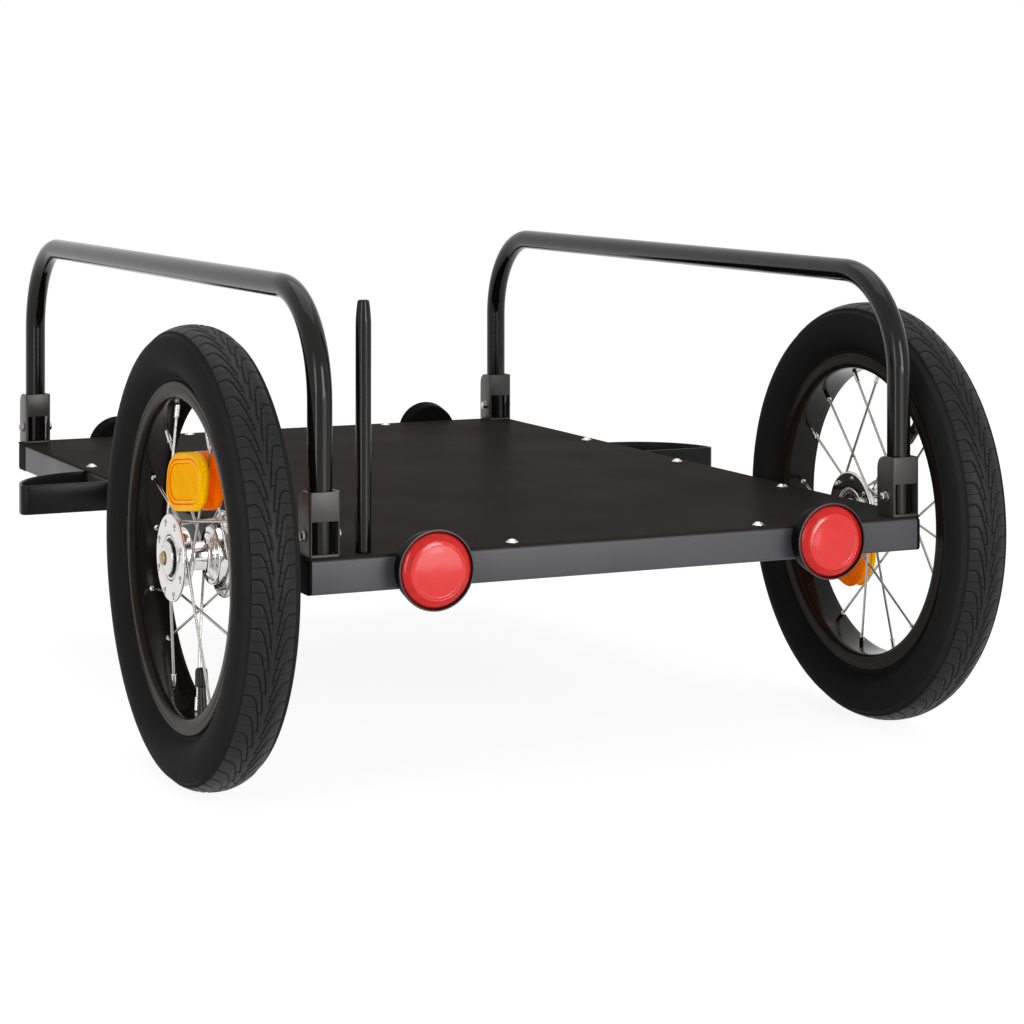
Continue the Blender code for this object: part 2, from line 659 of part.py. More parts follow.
def wheel_point(across, radius, degrees):
    """A point of the wheel from its place across, its radius and its angle from +Y to +Z."""
    angle = math.radians(degrees)
    return Vector((across, radius * math.cos(angle), radius * math.sin(angle)))


def spoke_solids(name, flange_side, side, first_hole, lean):
    """Half the spokes of one flange, all leaning the same way, as separate solids in a mesh."""
    bm = bmesh.new()
    near_flange = flange_side * side * HEAD_RING_PLANE
    near_rim = flange_side * side * NIPPLE_OFFSET
    pitch = 360.0 / SPOKES_PER_FLANGE
    for index in range(SPOKES_PER_FLANGE // 2):
        hole = first_hole + 2 * index * pitch
        start = wheel_point(near_flange, SPOKE_CIRCLE, hole)
        end = wheel_point(near_rim, NIPPLE_END_RADIUS, hole + lean)
        add_spoke(bm, start, end)
    return mesh_from(bm, name)


def add_spoke(bm, start, end):
    """One straight spoke with its nipple, spun round its own line."""
    length = (end - start).length
    turn = (end - start).to_track_quat("Z", "Y").to_matrix().to_4x4()
    nipple = length - NIPPLE_LENGTH
    profile = [(0, 0), (0, SPOKE_RADIUS), (nipple, SPOKE_RADIUS), (nipple, NIPPLE_RADIUS),
               (length, NIPPLE_RADIUS), (length, 0)]
    points = [bm.verts.new((r, 0, a)) for a, r in profile]
    edges = [bm.edges.new(pair) for pair in zip(points, points[1:])]
    before = set(bm.verts) - set(points)
    bmesh.ops.spin(bm, geom=points + edges, cent=(0, 0, 0), axis=(0, 0, 1),
                   angle=math.tau, steps=6, use_merge=True)
    made = [v for v in bm.verts if v not in before]
    bmesh.ops.remove_doubles(bm, verts=made, dist=0.00001)
    made = [v for v in bm.verts if v not in before]
    bmesh.ops.transform(bm, matrix=Matrix.Translation(start) @ turn, verts=made)


def build_spokes(side, flange_side, first_hole, wheel):
    """Spokes of one flange: leaning forward, leaning back, and the ring of their heads."""
    which = "outer" if flange_side > 0 else "inner"
    name = f"{side_name(side)}_{which}_spokes"
    middle = flange_side * side * HEAD_RING_PLANE
    half = HEAD_RING_HALF
    band = [(middle - half, SPOKE_CIRCLE - half), (middle + half, SPOKE_CIRCLE - half),
            (middle + half, SPOKE_CIRCLE + half), (middle - half, SPOKE_CIRCLE + half)]
    spokes = place(name, turned(name, band, "X", 16), "chrome", parent=wheel)
    pitch = 360.0 / SPOKES_PER_FLANGE
    for label, hole, lean in (("forward", first_hole, SPOKE_CROSSING),
                              ("back", first_hole + pitch, -SPOKE_CROSSING)):
        mesh = spoke_solids(f"{name}_{label}", flange_side, side, hole, lean)
        combine(spokes, cutter(f"{name}_{label}_solids", mesh, parent=wheel), "UNION")


def amber_outline(shrink):
    """Rounded trapezoid of the amber reflector, drawn in by a distance, about (0, 0)."""
    half_height = AMBER_HEIGHT / 2 - shrink
    radius = AMBER_CORNER - 0.6 * shrink
    points = []
    for quarter, (sx, sy) in enumerate(((1, 1), (-1, 1), (-1, -1), (1, -1))):
        width = AMBER_OUTER_WIDTH if sy > 0 else AMBER_INNER_WIDTH
        cx = sx * (width / 2 - shrink - radius)
        cy = sy * (half_height - radius)
        for step in range(4):
            angle = math.radians(90 * (quarter + step / 3))
            points.append((cx + radius * math.cos(angle), cy + radius * math.sin(angle)))
    return points


def spoke_across(radius):
    """How far from the wheel's middle plane a spoke passes at a radius from the axle."""
    start = wheel_point(HEAD_RING_PLANE, SPOKE_CIRCLE, 0)
    run = wheel_point(NIPPLE_OFFSET, NIPPLE_END_RADIUS, SPOKE_CROSSING) - start
    toward = start.y * run.y + start.z * run.z
    square = run.y ** 2 + run.z ** 2
    share = (math.sqrt(toward ** 2 + square * (radius ** 2 - SPOKE_CIRCLE ** 2)) - toward) / square
    return start.x + share * run.x


def build_amber_shell(side, which, angle, tilt, wheel):
    """One shell of the spoke reflector, lying along the slant of the outer spokes."""
    outward = 1 if which == "outer" else -1
    centre = wheel_point(0, AMBER_RADIUS, angle)
    up = wheel_point(0, 1, tilt)
    along = wheel_point(0, 1, tilt - 90)
    radial = wheel_point(0, 1, angle)
    half_height = AMBER_HEIGHT / 2
    drop = spoke_across(AMBER_RADIUS - half_height) - spoke_across(AMBER_RADIUS + half_height)
    slope = drop / AMBER_HEIGHT
    end_radius = math.hypot(AMBER_RADIUS, AMBER_OUTER_WIDTH / 2)
    spoke_plane = (spoke_across(AMBER_RADIUS) + spoke_across(end_radius)) / 2
    levels = [(0.0, 1.5 * MM), (3 * MM, 0.0), (AMBER_SHELL, 4.5 * MM), (AMBER_SHELL, 7.5 * MM),
              (AMBER_SHELL - 1.5 * MM, 8.5 * MM)]
    bm = bmesh.new()
    loops = []
    for lift, shrink in levels:
        loop = []
        for u, v in amber_outline(shrink):
            point = centre + along * u + up * v
            slant = -slope * (point - centre).dot(radial)
            across = spoke_plane + slant + outward * (AMBER_GAP / 2 + lift)
            loop.append(bm.verts.new(Vector((side * across, point.y, point.z))))
        loops.append(loop)
    count = len(loops[0])
    for near, far in zip(loops, loops[1:]):
        for i in range(count):
            j = (i + 1) % count
            bm.faces.new((near[i], near[j], far[j], far[i]))
    bm.faces.new(loops[0])
    bm.faces.new(loops[-1])
    name = f"{side_name(side)}_spoke_reflector_{which}_shell"
    return place(name, mesh_from(bm, name), "amber_lens", parent=wheel)


def build_valve(side, angle, wheel):
    """Rubber valve stem with its cap, pointing from the rim to the axle."""
    name = side_name(side) + "_valve"
    root = RIM_BED_RADIUS + RIM_WALL + VALVE_FOOT + 2 * GAP
    length = root - VALVE_TIP_RADIUS
    cap = length - VALVE_CAP_LENGTH
    profile = [(0, 0), (0, VALVE_FOOT_RADIUS), (VALVE_FOOT, VALVE_FOOT_RADIUS),
               (VALVE_FOOT, VALVE_STEM_RADIUS), (cap, VALVE_NECK_RADIUS), (cap, VALVE_CAP_RADIUS),
               (length, VALVE_CAP_TOP_RADIUS), (length, 0)]
    mesh = turned(name, profile, "Z", 12, ring=False)
    valve = place(name, mesh, "tyre_rubber", wheel_point(0, root, angle), wheel)
    inward = -wheel_point(0, 1, angle)
    valve.rotation_euler = inward.to_track_quat("Z", "X").to_euler()


def build_wheel(side, valve_angle, amber_angle, amber_tilt):
    """Everything that turns together, round an axis marker at the wheel's centre."""
    label = side_name(side)
    wheel = empty(label + "_wheel_axis", (side * TRACK_HALF, AXLE_Y, AXLE_Z))
    place(label + "_tyre", turned(label + "_tyre", tyre_profile(), "X", WHEEL_STEPS),
          "tyre_rubber", parent=wheel)
    rim = place(label + "_rim", turned(label + "_rim", rim_profile(), "X", WHEEL_STEPS),
                "rim_black", parent=wheel)
    reach = 4 * RIM_WALL
    hole = rod(label + "_valve_hole", VALVE_STEM_RADIUS + GAP, -reach, reach, "Z", 12)
    tool = cutter(label + "_valve_cutter", hole, wheel_point(0, RIM_BED_RADIUS, valve_angle), wheel)
    tool.rotation_euler = wheel_point(0, 1, valve_angle).to_track_quat("Z", "X").to_euler()
    combine(rim, tool)
    place(label + "_hub", turned(label + "_hub", hub_profile(), "X", 24), "chrome", parent=wheel)
    seat = FLANGE_FACE - BEARING_WIDTH - GAP
    for which, sign in (("outer", side), ("inner", -side)):
        profile = [(-sign * (a - BEARING_WIDTH) + sign * seat, r) for a, r in bearing_profile()]
        name = f"{label}_{which}_bearing"
        place(name, turned(name, profile, "X", 20), "bearing_seal", parent=wheel)
    turn = RIGHT_SPOKES_TURN if side > 0 else LEFT_SPOKES_TURN
    build_spokes(side, 1, OUTER_HOLES_START + turn, wheel)
    build_spokes(side, -1, INNER_HOLES_START + turn, wheel)
    for which in ("outer", "inner"):
        build_amber_shell(side, which, amber_angle, amber_tilt, wheel)
    build_valve(side, valve_angle, wheel)


def build_axle(side):
    """Stub axle, its bush in the rail and its release button, on the wheel's axis."""
    label = side_name(side)
    axis = empty(label + "_axle_line", (side * TRACK_HALF, AXLE_Y, AXLE_Z))
    for name, profile, material, ring in (("stub_axle", axle_profile(), "zinc_steel", False),
                                          ("axle_bush", bush_profile(), "zinc_steel", True),
                                          ("release_button", button_profile(), "chrome", False)):
        facing = [(side * a, r) for a, r in profile]
        mesh = turned(f"{label}_{name}", facing, "X", 16, ring=ring)
        place(f"{label}_{name}", mesh, material, parent=axis)


def centre_outline():
    """Move the whole trailer along Y until the middle of its outline is over the origin."""
    rear = AXLE_Y - TYRE_RADIUS
    front = FRAME_HALF_LENGTH + GAP + LENS_FRONT
    for item in bpy.data.objects:
        if item.parent is None:
            item.location.y -= (rear + front) / 2


def main():
    clear_scene()
    for side in (-1, 1):
        build_side_rail(side)
        build_guard(side)
        build_axle(side)
    build_end_rail(-1, "rear_rail")
    build_end_rail(1, "front_rail")
    build_cross_members()
    build_receiver()
    build_deck()
    build_hoops_and_feet()
    build_flag_socket()
    build_reflectors()
    build_wheel(-1, LEFT_VALVE_ANGLE, LEFT_AMBER_ANGLE, LEFT_AMBER_TILT)
    build_wheel(1, RIGHT_VALVE_ANGLE, RIGHT_AMBER_ANGLE, RIGHT_AMBER_TILT)
    centre_outline()


main()
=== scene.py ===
"""Finish of a flat-bed bicycle trailer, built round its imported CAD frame.

Each operator makes one group of pieces in the CAD's own place, in metres, and gives it a
material that starts from what the real piece is made of. Sizes and colours that a user
would change stand in the two property groups. Distances in profiles are in millimetres
and are turned to metres where the points are made.
"""

import math

import bmesh
import bpy
import numpy as np
from bpy.props import FloatProperty, FloatVectorProperty, IntProperty, PointerProperty
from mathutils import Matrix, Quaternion, Vector


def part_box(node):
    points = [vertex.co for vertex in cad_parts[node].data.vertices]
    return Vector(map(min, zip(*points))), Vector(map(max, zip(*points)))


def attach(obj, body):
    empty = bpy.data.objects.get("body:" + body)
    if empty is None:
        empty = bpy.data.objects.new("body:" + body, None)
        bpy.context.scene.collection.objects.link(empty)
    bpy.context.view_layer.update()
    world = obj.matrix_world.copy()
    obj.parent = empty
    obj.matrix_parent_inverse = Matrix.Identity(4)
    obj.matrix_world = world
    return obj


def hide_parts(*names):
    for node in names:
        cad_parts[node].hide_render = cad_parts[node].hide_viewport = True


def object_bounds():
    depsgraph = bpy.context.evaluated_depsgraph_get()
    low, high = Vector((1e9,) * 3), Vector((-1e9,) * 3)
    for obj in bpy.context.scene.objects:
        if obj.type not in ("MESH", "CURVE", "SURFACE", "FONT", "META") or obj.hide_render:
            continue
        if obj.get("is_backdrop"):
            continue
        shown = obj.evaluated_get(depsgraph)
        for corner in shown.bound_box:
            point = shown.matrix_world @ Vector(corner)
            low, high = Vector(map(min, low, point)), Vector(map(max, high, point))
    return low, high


bl_info = {
    "name": "Bicycle Trailer Finish",
    "version": (1, 0, 0),
    "blender": (4, 5, 0),
    "location": "View3D > Sidebar > Trailer",
    "description": "Builds the visible pieces of a flat-bed bicycle trailer round its CAD frame",
    "category": "Add Mesh",
}

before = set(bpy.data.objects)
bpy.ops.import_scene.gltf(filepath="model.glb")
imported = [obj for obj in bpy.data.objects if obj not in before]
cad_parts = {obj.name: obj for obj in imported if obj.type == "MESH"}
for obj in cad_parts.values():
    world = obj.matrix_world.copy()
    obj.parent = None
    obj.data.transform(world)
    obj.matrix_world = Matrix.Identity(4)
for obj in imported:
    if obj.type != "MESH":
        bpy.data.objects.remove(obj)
CAD_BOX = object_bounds()

MM = 0.001
SIDES = (("left", -1), ("right", 1))
ENDS = (("rear", -1), ("front", 1))
AXLE = {label: sum(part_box(label + "_rim"), Vector()) / 2 for label, _ in SIDES}
# Radii of a wheel in millimetres: the tread, the rim's spoke bed and the circle of hub holes.
TYRE_RADIUS = 206.0
RIM_BED = 140.2
HOLE_CIRCLE = 33.0


# Colours and materials


def linear(code):
    """Turn an sRGB hex code to the linear red, green and blue that Blender's sockets take."""
    parts = [int(code[i:i + 2], 16) / 255 for i in (1, 3, 5)]
    return tuple(p / 12.92 if p <= 0.04045 else ((p + 0.055) / 1.055) ** 2.4 for p in parts)


def per_mm(size):
    """Scale of a texture whose features are that many millimetres apart."""
    return 1 / (size * MM)


def add(tree, kind, inputs=None, **settings):
    """Add a node: settings are its properties, inputs its sockets as values or links."""
    node = tree.nodes.new("ShaderNode" + kind)
    for key, value in settings.items():
        setattr(node, key, value)
    for key, value in (inputs or {}).items():
        socket = node.inputs[key]
        if isinstance(value, bpy.types.NodeSocket):
            tree.links.new(value, socket)
        else:
            socket.default_value = value
    return node


def start_material(name, plain, *noises):
    """A new material, the place of a point in the object, and its noises.

    plain holds the values that are the same all over. A noise is (millimetres between its
    features, detail). Black coats have a specular level far below the usual 0.5: every
    mirror ray here sees the white surroundings, and they would turn grey.
    """
    made = bpy.data.materials.new(name)
    made.use_nodes = True
    tree = made.node_tree
    for key, value in plain.items():
        tree.nodes["Principled BSDF"].inputs[key].default_value = value
    place = add(tree, "TexCoord").outputs["Object"]
    found = []
    for apart, detail in noises:
        noise = add(tree, "TexNoise", {"Vector": place, "Scale": per_mm(apart), "Detail": detail})
        found.append(noise.outputs["Fac"])
    return made, place, found


def shade(colour, factor):
    """A colour made darker or lighter by a factor."""
    return tuple(min(1.0, part * factor) for part in colour)


def surface(made, tint_by, tints, rough_by, rough, relief):
    """Mottle a material's colour and roughness and raise its surface.

    tint_by leads from the first to the second of two linear colours. rough_by leads over a
    range of roughness while it runs over the 0.3 to 0.7 that a noise keeps to. relief lists
    (height, depth in millimetres, strength), the broadest form first.
    """
    tree = made.node_tree
    shader = tree.nodes["Principled BSDF"]
    dark, light = tints
    mix = add(tree, "Mix", {0: tint_by, 6: (*dark, 1), 7: (*light, 1)}, data_type="RGBA")
    tree.links.new(mix.outputs[2], shader.inputs["Base Color"])
    if rough:
        span = add(tree, "MapRange", {"Value": rough_by, "From Min": 0.3, "From Max": 0.7,
                                      "To Min": rough[0], "To Max": rough[1]})
        tree.links.new(span.outputs["Result"], shader.inputs["Roughness"])
    under = {}
    for height, depth, strength in relief:
        bump = add(tree, "Bump", {"Height": height, "Distance": depth * MM,
                                  "Strength": strength, **under})
        under = {"Normal": bump.outputs["Normal"]}
        tree.links.new(bump.outputs["Normal"], shader.inputs["Normal"])
    return mix.outputs[2]


def coated_steel(name, colour, roughness, grain, shine):
    """Metal under a baked coat: satin grey powder or smooth gloss black.

    Powder leaves a fine orange peel that breaks up the highlight; the gloss coat is nearly
    even, with a faint waviness left by the tube beneath it.
    """
    made, _, (peel, cloud) = start_material(
        name, {"Roughness": roughness, "IOR": 1.5, "Specular IOR Level": shine},
        (grain, 2.0), (70, 3.0))
    surface(made, cloud, (shade(colour, 0.9), shade(colour, 1.1)),
            cloud, (roughness * 0.88, roughness * 1.14), [(peel, 0.05, 0.5)])
    return made


def moulded_abs(name, colour, shine):
    """Black moulded ABS: even, with the fine spark-eroded grain of its mould."""
    made, _, (grain, wear) = start_material(
        name, {"Roughness": 0.36, "IOR": 1.53, "Specular IOR Level": shine},
        (0.9, 3.0), (22, 2.0))
    surface(made, wear, (shade(colour, 0.8), shade(colour, 1.25)), wear, (0.3, 0.44),
            [(grain, 0.06, 0.6)])
    return made


def coated_polyester(colour):
    """Polyester cloth with a coat of soft PVC: a fine plain weave, matt from above.

    Seen low along the cloth, the coat mirrors what stands on it as broad soft streaks.
    The real threads lie 0.6 mm apart; they are drawn 3 mm apart so that they show at all.
    """
    made, place, (cloud, dust, slack) = start_material(
        "coated_polyester_cloth", {"Roughness": 0.4, "IOR": 1.48, "Specular IOR Level": 0.0006},
        (120, 4.0), (3, 5.0), (190, 1.0))
    tree = made.node_tree
    threads = {}
    for number, direction in enumerate(("X", "Y")):
        # A wave repeats 20 / tau times for each unit of its scale.
        wave = add(tree, "TexWave", {"Vector": place, "Scale": per_mm(2.9609) * math.tau / 20,
                                     "Distortion": 0.4, "Detail": 1.0, "Detail Scale": 2.0},
                   wave_type="BANDS", bands_direction=direction)
        threads[number] = wave.outputs["Fac"]
    weave = add(tree, "Math", threads, operation="MAXIMUM").outputs[0]
    blend = add(tree, "Mix", {0: 0.35, 2: cloud, 3: dust}).outputs[0]
    surface(made, blend, (shade(colour, 0.84), shade(colour, 1.16)), cloud, (0.34, 0.46),
            [(slack, 1.2, 0.5), (weave, 0.08, 0.5)])
    return made


def bright_metal(name, colour, roughness, grain, scratch=0.0):
    """Plated or bare metal: a clean mirror for chrome, a dull silky one for zinc and steel."""
    noises = [(grain, 4.0), (0.5, 2.0)] if scratch else [(grain, 4.0)]
    made, _, (cloud, *marks) = start_material(
        name, {"Metallic": 1.0, "Roughness": roughness}, *noises)
    surface(made, cloud, (shade(colour, 0.92), shade(colour, 1.06)),
            cloud, (roughness * 0.7, roughness * 1.4), [(fine, 0.03, scratch) for fine in marks])
    return made


def tyre_rubber(name, colour, shine, pitch=None):
    """Vulcanised black rubber: matt and dark, with the fine grain of its mould.

    On the tread, a pitch of its pattern in millimetres adds the grooves as sunk lines, darkened as painted
    shade.
    """
    made, _, (grain, cloud) = start_material(
        name, {"Roughness": 0.5, "IOR": 1.52, "Specular IOR Level": shine},
        (1.1, 3.0), (35, 4.0))
    tree = made.node_tree
    relief = [(grain, 0.06, 0.5)]
    if pitch:
        open_face = tread_lines(tree, pitch)
        relief.insert(0, (open_face, 1.1, 1.0))
    base = surface(made, cloud, (shade(colour, 0.88), shade(colour, 1.14)),
                   cloud, (0.38, 0.5), relief)
    if pitch:
        # Painted shade: the grooves and fine cuts are darkened towards a fifth of the rubber's colour.
        shadow = add(tree, "Mix", {0: open_face, 6: (*shade(colour, 0.217), 1), 7: base},
                     data_type="RGBA")
        tree.links.new(shadow.outputs[2], tree.nodes["Principled BSDF"].inputs["Base Color"])
    return made


def tread_lines(tree, pitch):
    """The tread's pattern: 0 in a groove or a fine cut and 1 on the open rubber.

    The mesh carries the place of each corner on the tread in millimetres, across and round.
    The lines are drawn from it, over the valleys of the mesh. Each step has a name, an
    operation or the points of a curve, and the values or earlier steps that it works on.
    """
    held = add(tree, "Attribute", attribute_name="tread_place").outputs["Vector"]
    spot = add(tree, "SeparateXYZ", {"Vector": held}).outputs
    rising = LEG[::-1]
    lag = [(a / TREAD_HALF, b / LAG_SPAN) for a, b in rising]
    lean = []
    for (a0, b0), (a1, b1) in zip(rising, rising[1:]):
        lean.append(((a0 + a1) / 2 / TREAD_HALF, (a1 - a0) / math.hypot(a1 - a0, b1 - b0)))
    lean = [(0.0, lean[0][1])] + lean + [(1.0, 1.0)]
    steps = [
        ("across", "ABSOLUTE", "x"), ("other side", "LESS_THAN", "x", 0.0),
        ("round", "MULTIPLY_ADD", "other side", pitch / 2, "y"),
        ("share", "DIVIDE", "across", TREAD_HALF), ("lag", lag, "share"), ("lean", lean, "share"),
        ("lag", "MULTIPLY", "lag", LAG_SPAN), ("leg", "SUBTRACT", "round", "lag"),
        ("leg", "PINGPONG", "leg", pitch / 2), ("leg", "MULTIPLY", "leg", "lean"),
        ("end", "SUBTRACT", rising[0][0], "across"), ("leg", "MAXIMUM", "leg", "end"),
        ("end", "SUBTRACT", "across", TREAD_HALF), ("leg", "MAXIMUM", "leg", "end"),
    ]
    cuts = [(near, far, turn * pitch) for near, far, turn in SIPES]
    for name, (near, far, turn) in zip(("hook", "long cut", "short cut"), [HOOK, *cuts]):
        steps += [
            ("away", "SUBTRACT", "round", turn), ("away", "PINGPONG", "away", pitch / 2),
            ("past", "SUBTRACT", "across", (near + far) / 2), ("past", "ABSOLUTE", "past"),
            ("past", "SUBTRACT", "past", (far - near) / 2), (name, "MAXIMUM", "away", "past"),
        ]
    steps += [("wide", "MINIMUM", "leg", "hook"), ("thin", "MINIMUM", "long cut", "short cut")]
    values = {"x": spot["X"], "y": spot["Y"]}
    for name, work, *parts in steps:
        parts = [values.get(part, part) for part in parts]
        if isinstance(work, str):
            node = add(tree, "Math", dict(enumerate(parts)), operation=work)
        else:
            node = add(tree, "FloatCurve", {"Value": parts[0]})
            line = node.mapping.curves[0]
            line.points[0].location, line.points[1].location = work[0], work[-1]
            for point in work[1:-1]:
                line.points.new(*point)
            for point in line.points:
                point.handle_type = "VECTOR"
            node.mapping.update()
        values[name] = node.outputs[0]
    lines = {}
    for number, (name, core, edge) in enumerate((("wide", 0.14, 0.58), ("thin", 0.06, 0.34))):
        line = add(tree, "MapRange", {"Value": values[name], "From Min": core, "From Max": edge},
                   interpolation_type="SMOOTHSTEP")
        lines[number] = line.outputs["Result"]
    return add(tree, "Math", lines, operation="MULTIPLY").outputs[0]


def dull_rubber(name, colour, roughness):
    """Soft black rubber of a seal or a valve stem: dull, with small mould marks."""
    made, _, (grain,) = start_material(
        name, {"Roughness": roughness, "IOR": 1.52, "Specular IOR Level": 0.25}, (1.4, 3.0))
    surface(made, grain, (shade(colour, 0.8), shade(colour, 1.3)), None, None,
            [(grain, 0.07, 0.5)])
    return made


def prism_acrylic(name, colour, deep, cell, shine, clear=0.0, glow=0.0):
    """Moulded acrylic reflector: a smooth face over rows of small corner prisms.

    The face is glossy and even; the prisms under it split the colour a little into cells
    of light and deep tone. They are 2 mm in the real lens. The amber shells are given a
    painted glow: an emission that lights them beyond what the lamps give, standing for the
    light they gather over their whole face and give back at their ridges. Their IOR is 1.3
    in place of 1.49, so that no white sheen dulls their colour.
    """
    made, place, (cloud,) = start_material(name, {
        "Roughness": 0.14, "IOR": 1.3 if glow else 1.49, "Specular IOR Level": shine,
        # Painted glow: the emission lights the amber shells beyond what the lamps give.
        "Transmission Weight": clear, "Emission Color": (*colour, 1), "Emission Strength": glow,
    }, (18, 2.0))
    tree = made.node_tree
    cells = add(tree, "TexVoronoi", {"Vector": place, "Scale": per_mm(cell), "Randomness": 0.0},
                feature="F1").outputs["Distance"]
    mixed = add(tree, "Mix", {0: 0.5, 2: cells, 3: cloud}).outputs[0]
    factor = add(tree, "MapRange", {"Value": mixed, "From Min": 0.2, "From Max": 0.7})
    surface(made, factor.outputs["Result"], (colour, deep), None, None, [(cells, 0.2, 0.12)])
    return made


def studio_floor():
    """Matt white painted floor: plain white to the lens and in mirrors, with a light shadow."""
    made = bpy.data.materials.new("matt_white_floor")
    made.use_nodes = True
    tree = made.node_tree
    tree.nodes.clear()
    paint = add(tree, "BsdfDiffuse", {"Color": (*linear("#f4f3f1"), 1)})
    thin = add(tree, "BsdfDiffuse", {"Color": (0.24, 0.24, 0.24, 1)})
    glow = add(tree, "Emission", {"Color": (1, 1, 1, 1), "Strength": 0.9})
    lit = add(tree, "AddShader", {0: thin.outputs[0], 1: glow.outputs[0]})
    mix = add(tree, "MixShader", {0: looked_at(tree), 1: paint.outputs[0], 2: lit.outputs[0]})
    add(tree, "OutputMaterial", {"Surface": mix.outputs[0]})
    return made


def looked_at(tree):
    """1 for what the lens, a mirror or clear glass sees, 0 for light on the object."""
    path = add(tree, "LightPath").outputs
    seen = path["Is Camera Ray"]
    for other in ("Is Glossy Ray", "Is Transmission Ray"):
        seen = add(tree, "Math", {0: seen, 1: path[other]}, operation="MAXIMUM").outputs[0]
    return seen


def paints():
    """Make every material once and keep it by name."""
    tint = bpy.context.scene.trailer_colours
    pitch = math.tau * TYRE_RADIUS / bpy.context.scene.trailer_sizes.pitches
    mid = tuple(0.75 * a + 0.25 * b for a, b in zip(tint.amber, tint.amber_deep))
    deep = tint.amber_deep
    PAINT.update({
        "rail": coated_steel("powder_coated_steel_grey", tint.rail, 0.38, 1.6, 0.3),
        "tube": coated_steel("gloss_black_coated_steel", tint.tube, 0.12, 6.0, 0.25),
        "guard": coated_steel("satin_black_coated_steel", tint.guard, 0.3, 2.2, 0.15),
        "bracket": coated_steel("satin_black_pressed_steel", tint.bracket, 0.36, 1.8, 0.45),
        "rim": coated_steel("gloss_black_painted_aluminium", tint.rim, 0.16, 14.0, 0.14),
        "rim_lip": coated_steel("brown_black_anodised_aluminium", tint.rim_lip, 0.15, 14.0, 0.04),
        "abs": moulded_abs("moulded_black_abs", tint.plastic, 0.004),
        # Painted highlight: the cup's rolled rim is 1.6 times lighter than the black plastic, besides its
        # higher shine.
        "abs_edge_highlight": moulded_abs("polished_black_abs_painted_highlight", shade(tint.plastic, 1.6), 0.6),
        "cloth": coated_polyester(tint.deck),
        "zinc": bright_metal("zinc_plated_steel", tint.zinc, 0.26, 6.0, 0.3),
        "dark_steel": bright_metal("blackened_steel", tint.dark_steel, 0.34, 5.0, 0.3),
        "stainless": bright_metal("stainless_steel", tint.chrome, 0.16, 8.0, 0.2),
        "spoke": bright_metal("stainless_spoke_wire", shade(tint.chrome, 0.62), 0.2, 8.0, 0.2),
        "chrome": bright_metal("bright_chrome_plate", tint.chrome, 0.07, 14.0),
        "button": bright_metal("yellow_passivated_steel", tint.button, 0.2, 5.0),
        "tyre": tyre_rubber("vulcanised_rubber_wall", shade(tint.tyre, 1.25), 0.004),
        "tread": tyre_rubber("vulcanised_rubber_tread", shade(tint.tyre, 1.15), 0.1, pitch),
        "seal": dull_rubber("nitrile_seal_rubber", tint.seal, 0.5),
        "valve": dull_rubber("valve_stem_rubber", tint.seal, 0.22),
    })
    # Name, light and deep colour, millimetres between prisms, specular level, transmission, painted glow
    for key, name, *numbers in (
            ("red", "red_prism_acrylic", tint.red, shade(tint.red, 0.86), 2.6, 0.6),
            ("red_rim", "red_smooth_acrylic", shade(tint.red, 0.8), shade(tint.red, 0.62), 9.0, 0.3),
            ("clear", "clear_prism_acrylic", tint.clear, shade(tint.clear, 0.7), 2.6, 0.5, 0.25),
            ("clear_rim", "clear_smooth_acrylic", shade(tint.clear, 0.8), shade(tint.clear, 0.7),
             9.0, 0.5, 0.25),
            ("amber", "amber_moulded_acrylic", tint.amber, shade(mid, 0.7), 4.0, 0.04, 0.0, 0.22),
            ("amber_panel", "amber_prism_acrylic", shade(mid, 0.86), shade(mid, 0.62),
             1.6, 0.01, 0.0, 0.36),
            ("orange", "orange_moulded_acrylic", shade(deep, 1.1), shade(deep, 0.45),
             3.0, 0.04, 0.0, 0.28)):
        PAINT[key] = prism_acrylic(name, *numbers)


PAINT = {}


# Shapes


def filleted(points, steps=3, closed=False):
    """Round the corners of a line: each point is (a, b) or (a, b, radius), in millimetres."""
    made = []
    count = len(points)
    for i, point in enumerate(points):
        here = Vector(point[:2])
        radius = point[2] if len(point) > 2 else 0.0
        inside = closed or 0 < i < count - 1
        if not radius or not inside:
            made.append((here.x, here.y))
            continue
        before = Vector(points[i - 1][:2]) - here
        after = Vector(points[(i + 1) % count][:2]) - here
        reach = min(radius, 0.48 * before.length, 0.48 * after.length)
        first = here + before.normalized() * reach
        last = here + after.normalized() * reach
        for step in range(steps + 1):
            t = step / steps
            spot = first * (1 - t) ** 2 + here * 2 * t * (1 - t) + last * t ** 2
            made.append((spot.x, spot.y))
    return made


def rounded_rectangle(width, height, radius, steps=5):
    """Outline of a rectangle with round corners, about (0, 0)."""
    points = []
    for quarter, (sx, sy) in enumerate(((1, 1), (-1, 1), (-1, -1), (1, -1))):
        for step in range(steps + 1):
            angle = math.radians(90 * (quarter + step / steps))
            points.append((sx * (width / 2 - radius) + radius * math.cos(angle),
                           sy * (height / 2 - radius) + radius * math.sin(angle)))
    return points


def loft(bm, loops, closed=True, caps=True, ring=False):
    """Join loops of as many points each into a skin."""
    rows = [[bm.verts.new(point) for point in loop] for loop in loops]
    pairs = list(zip(rows, rows[1:]))
    if ring:
        pairs.append((rows[-1], rows[0]))
    for near, far in pairs:
        count = len(near)
        for i in range(count if closed else count - 1):
            j = (i + 1) % count
            bm.faces.new((near[i], near[j], far[j], far[i]))
    if caps and not ring:
        bm.faces.new(rows[0][::-1])
        bm.faces.new(rows[-1])
    return rows


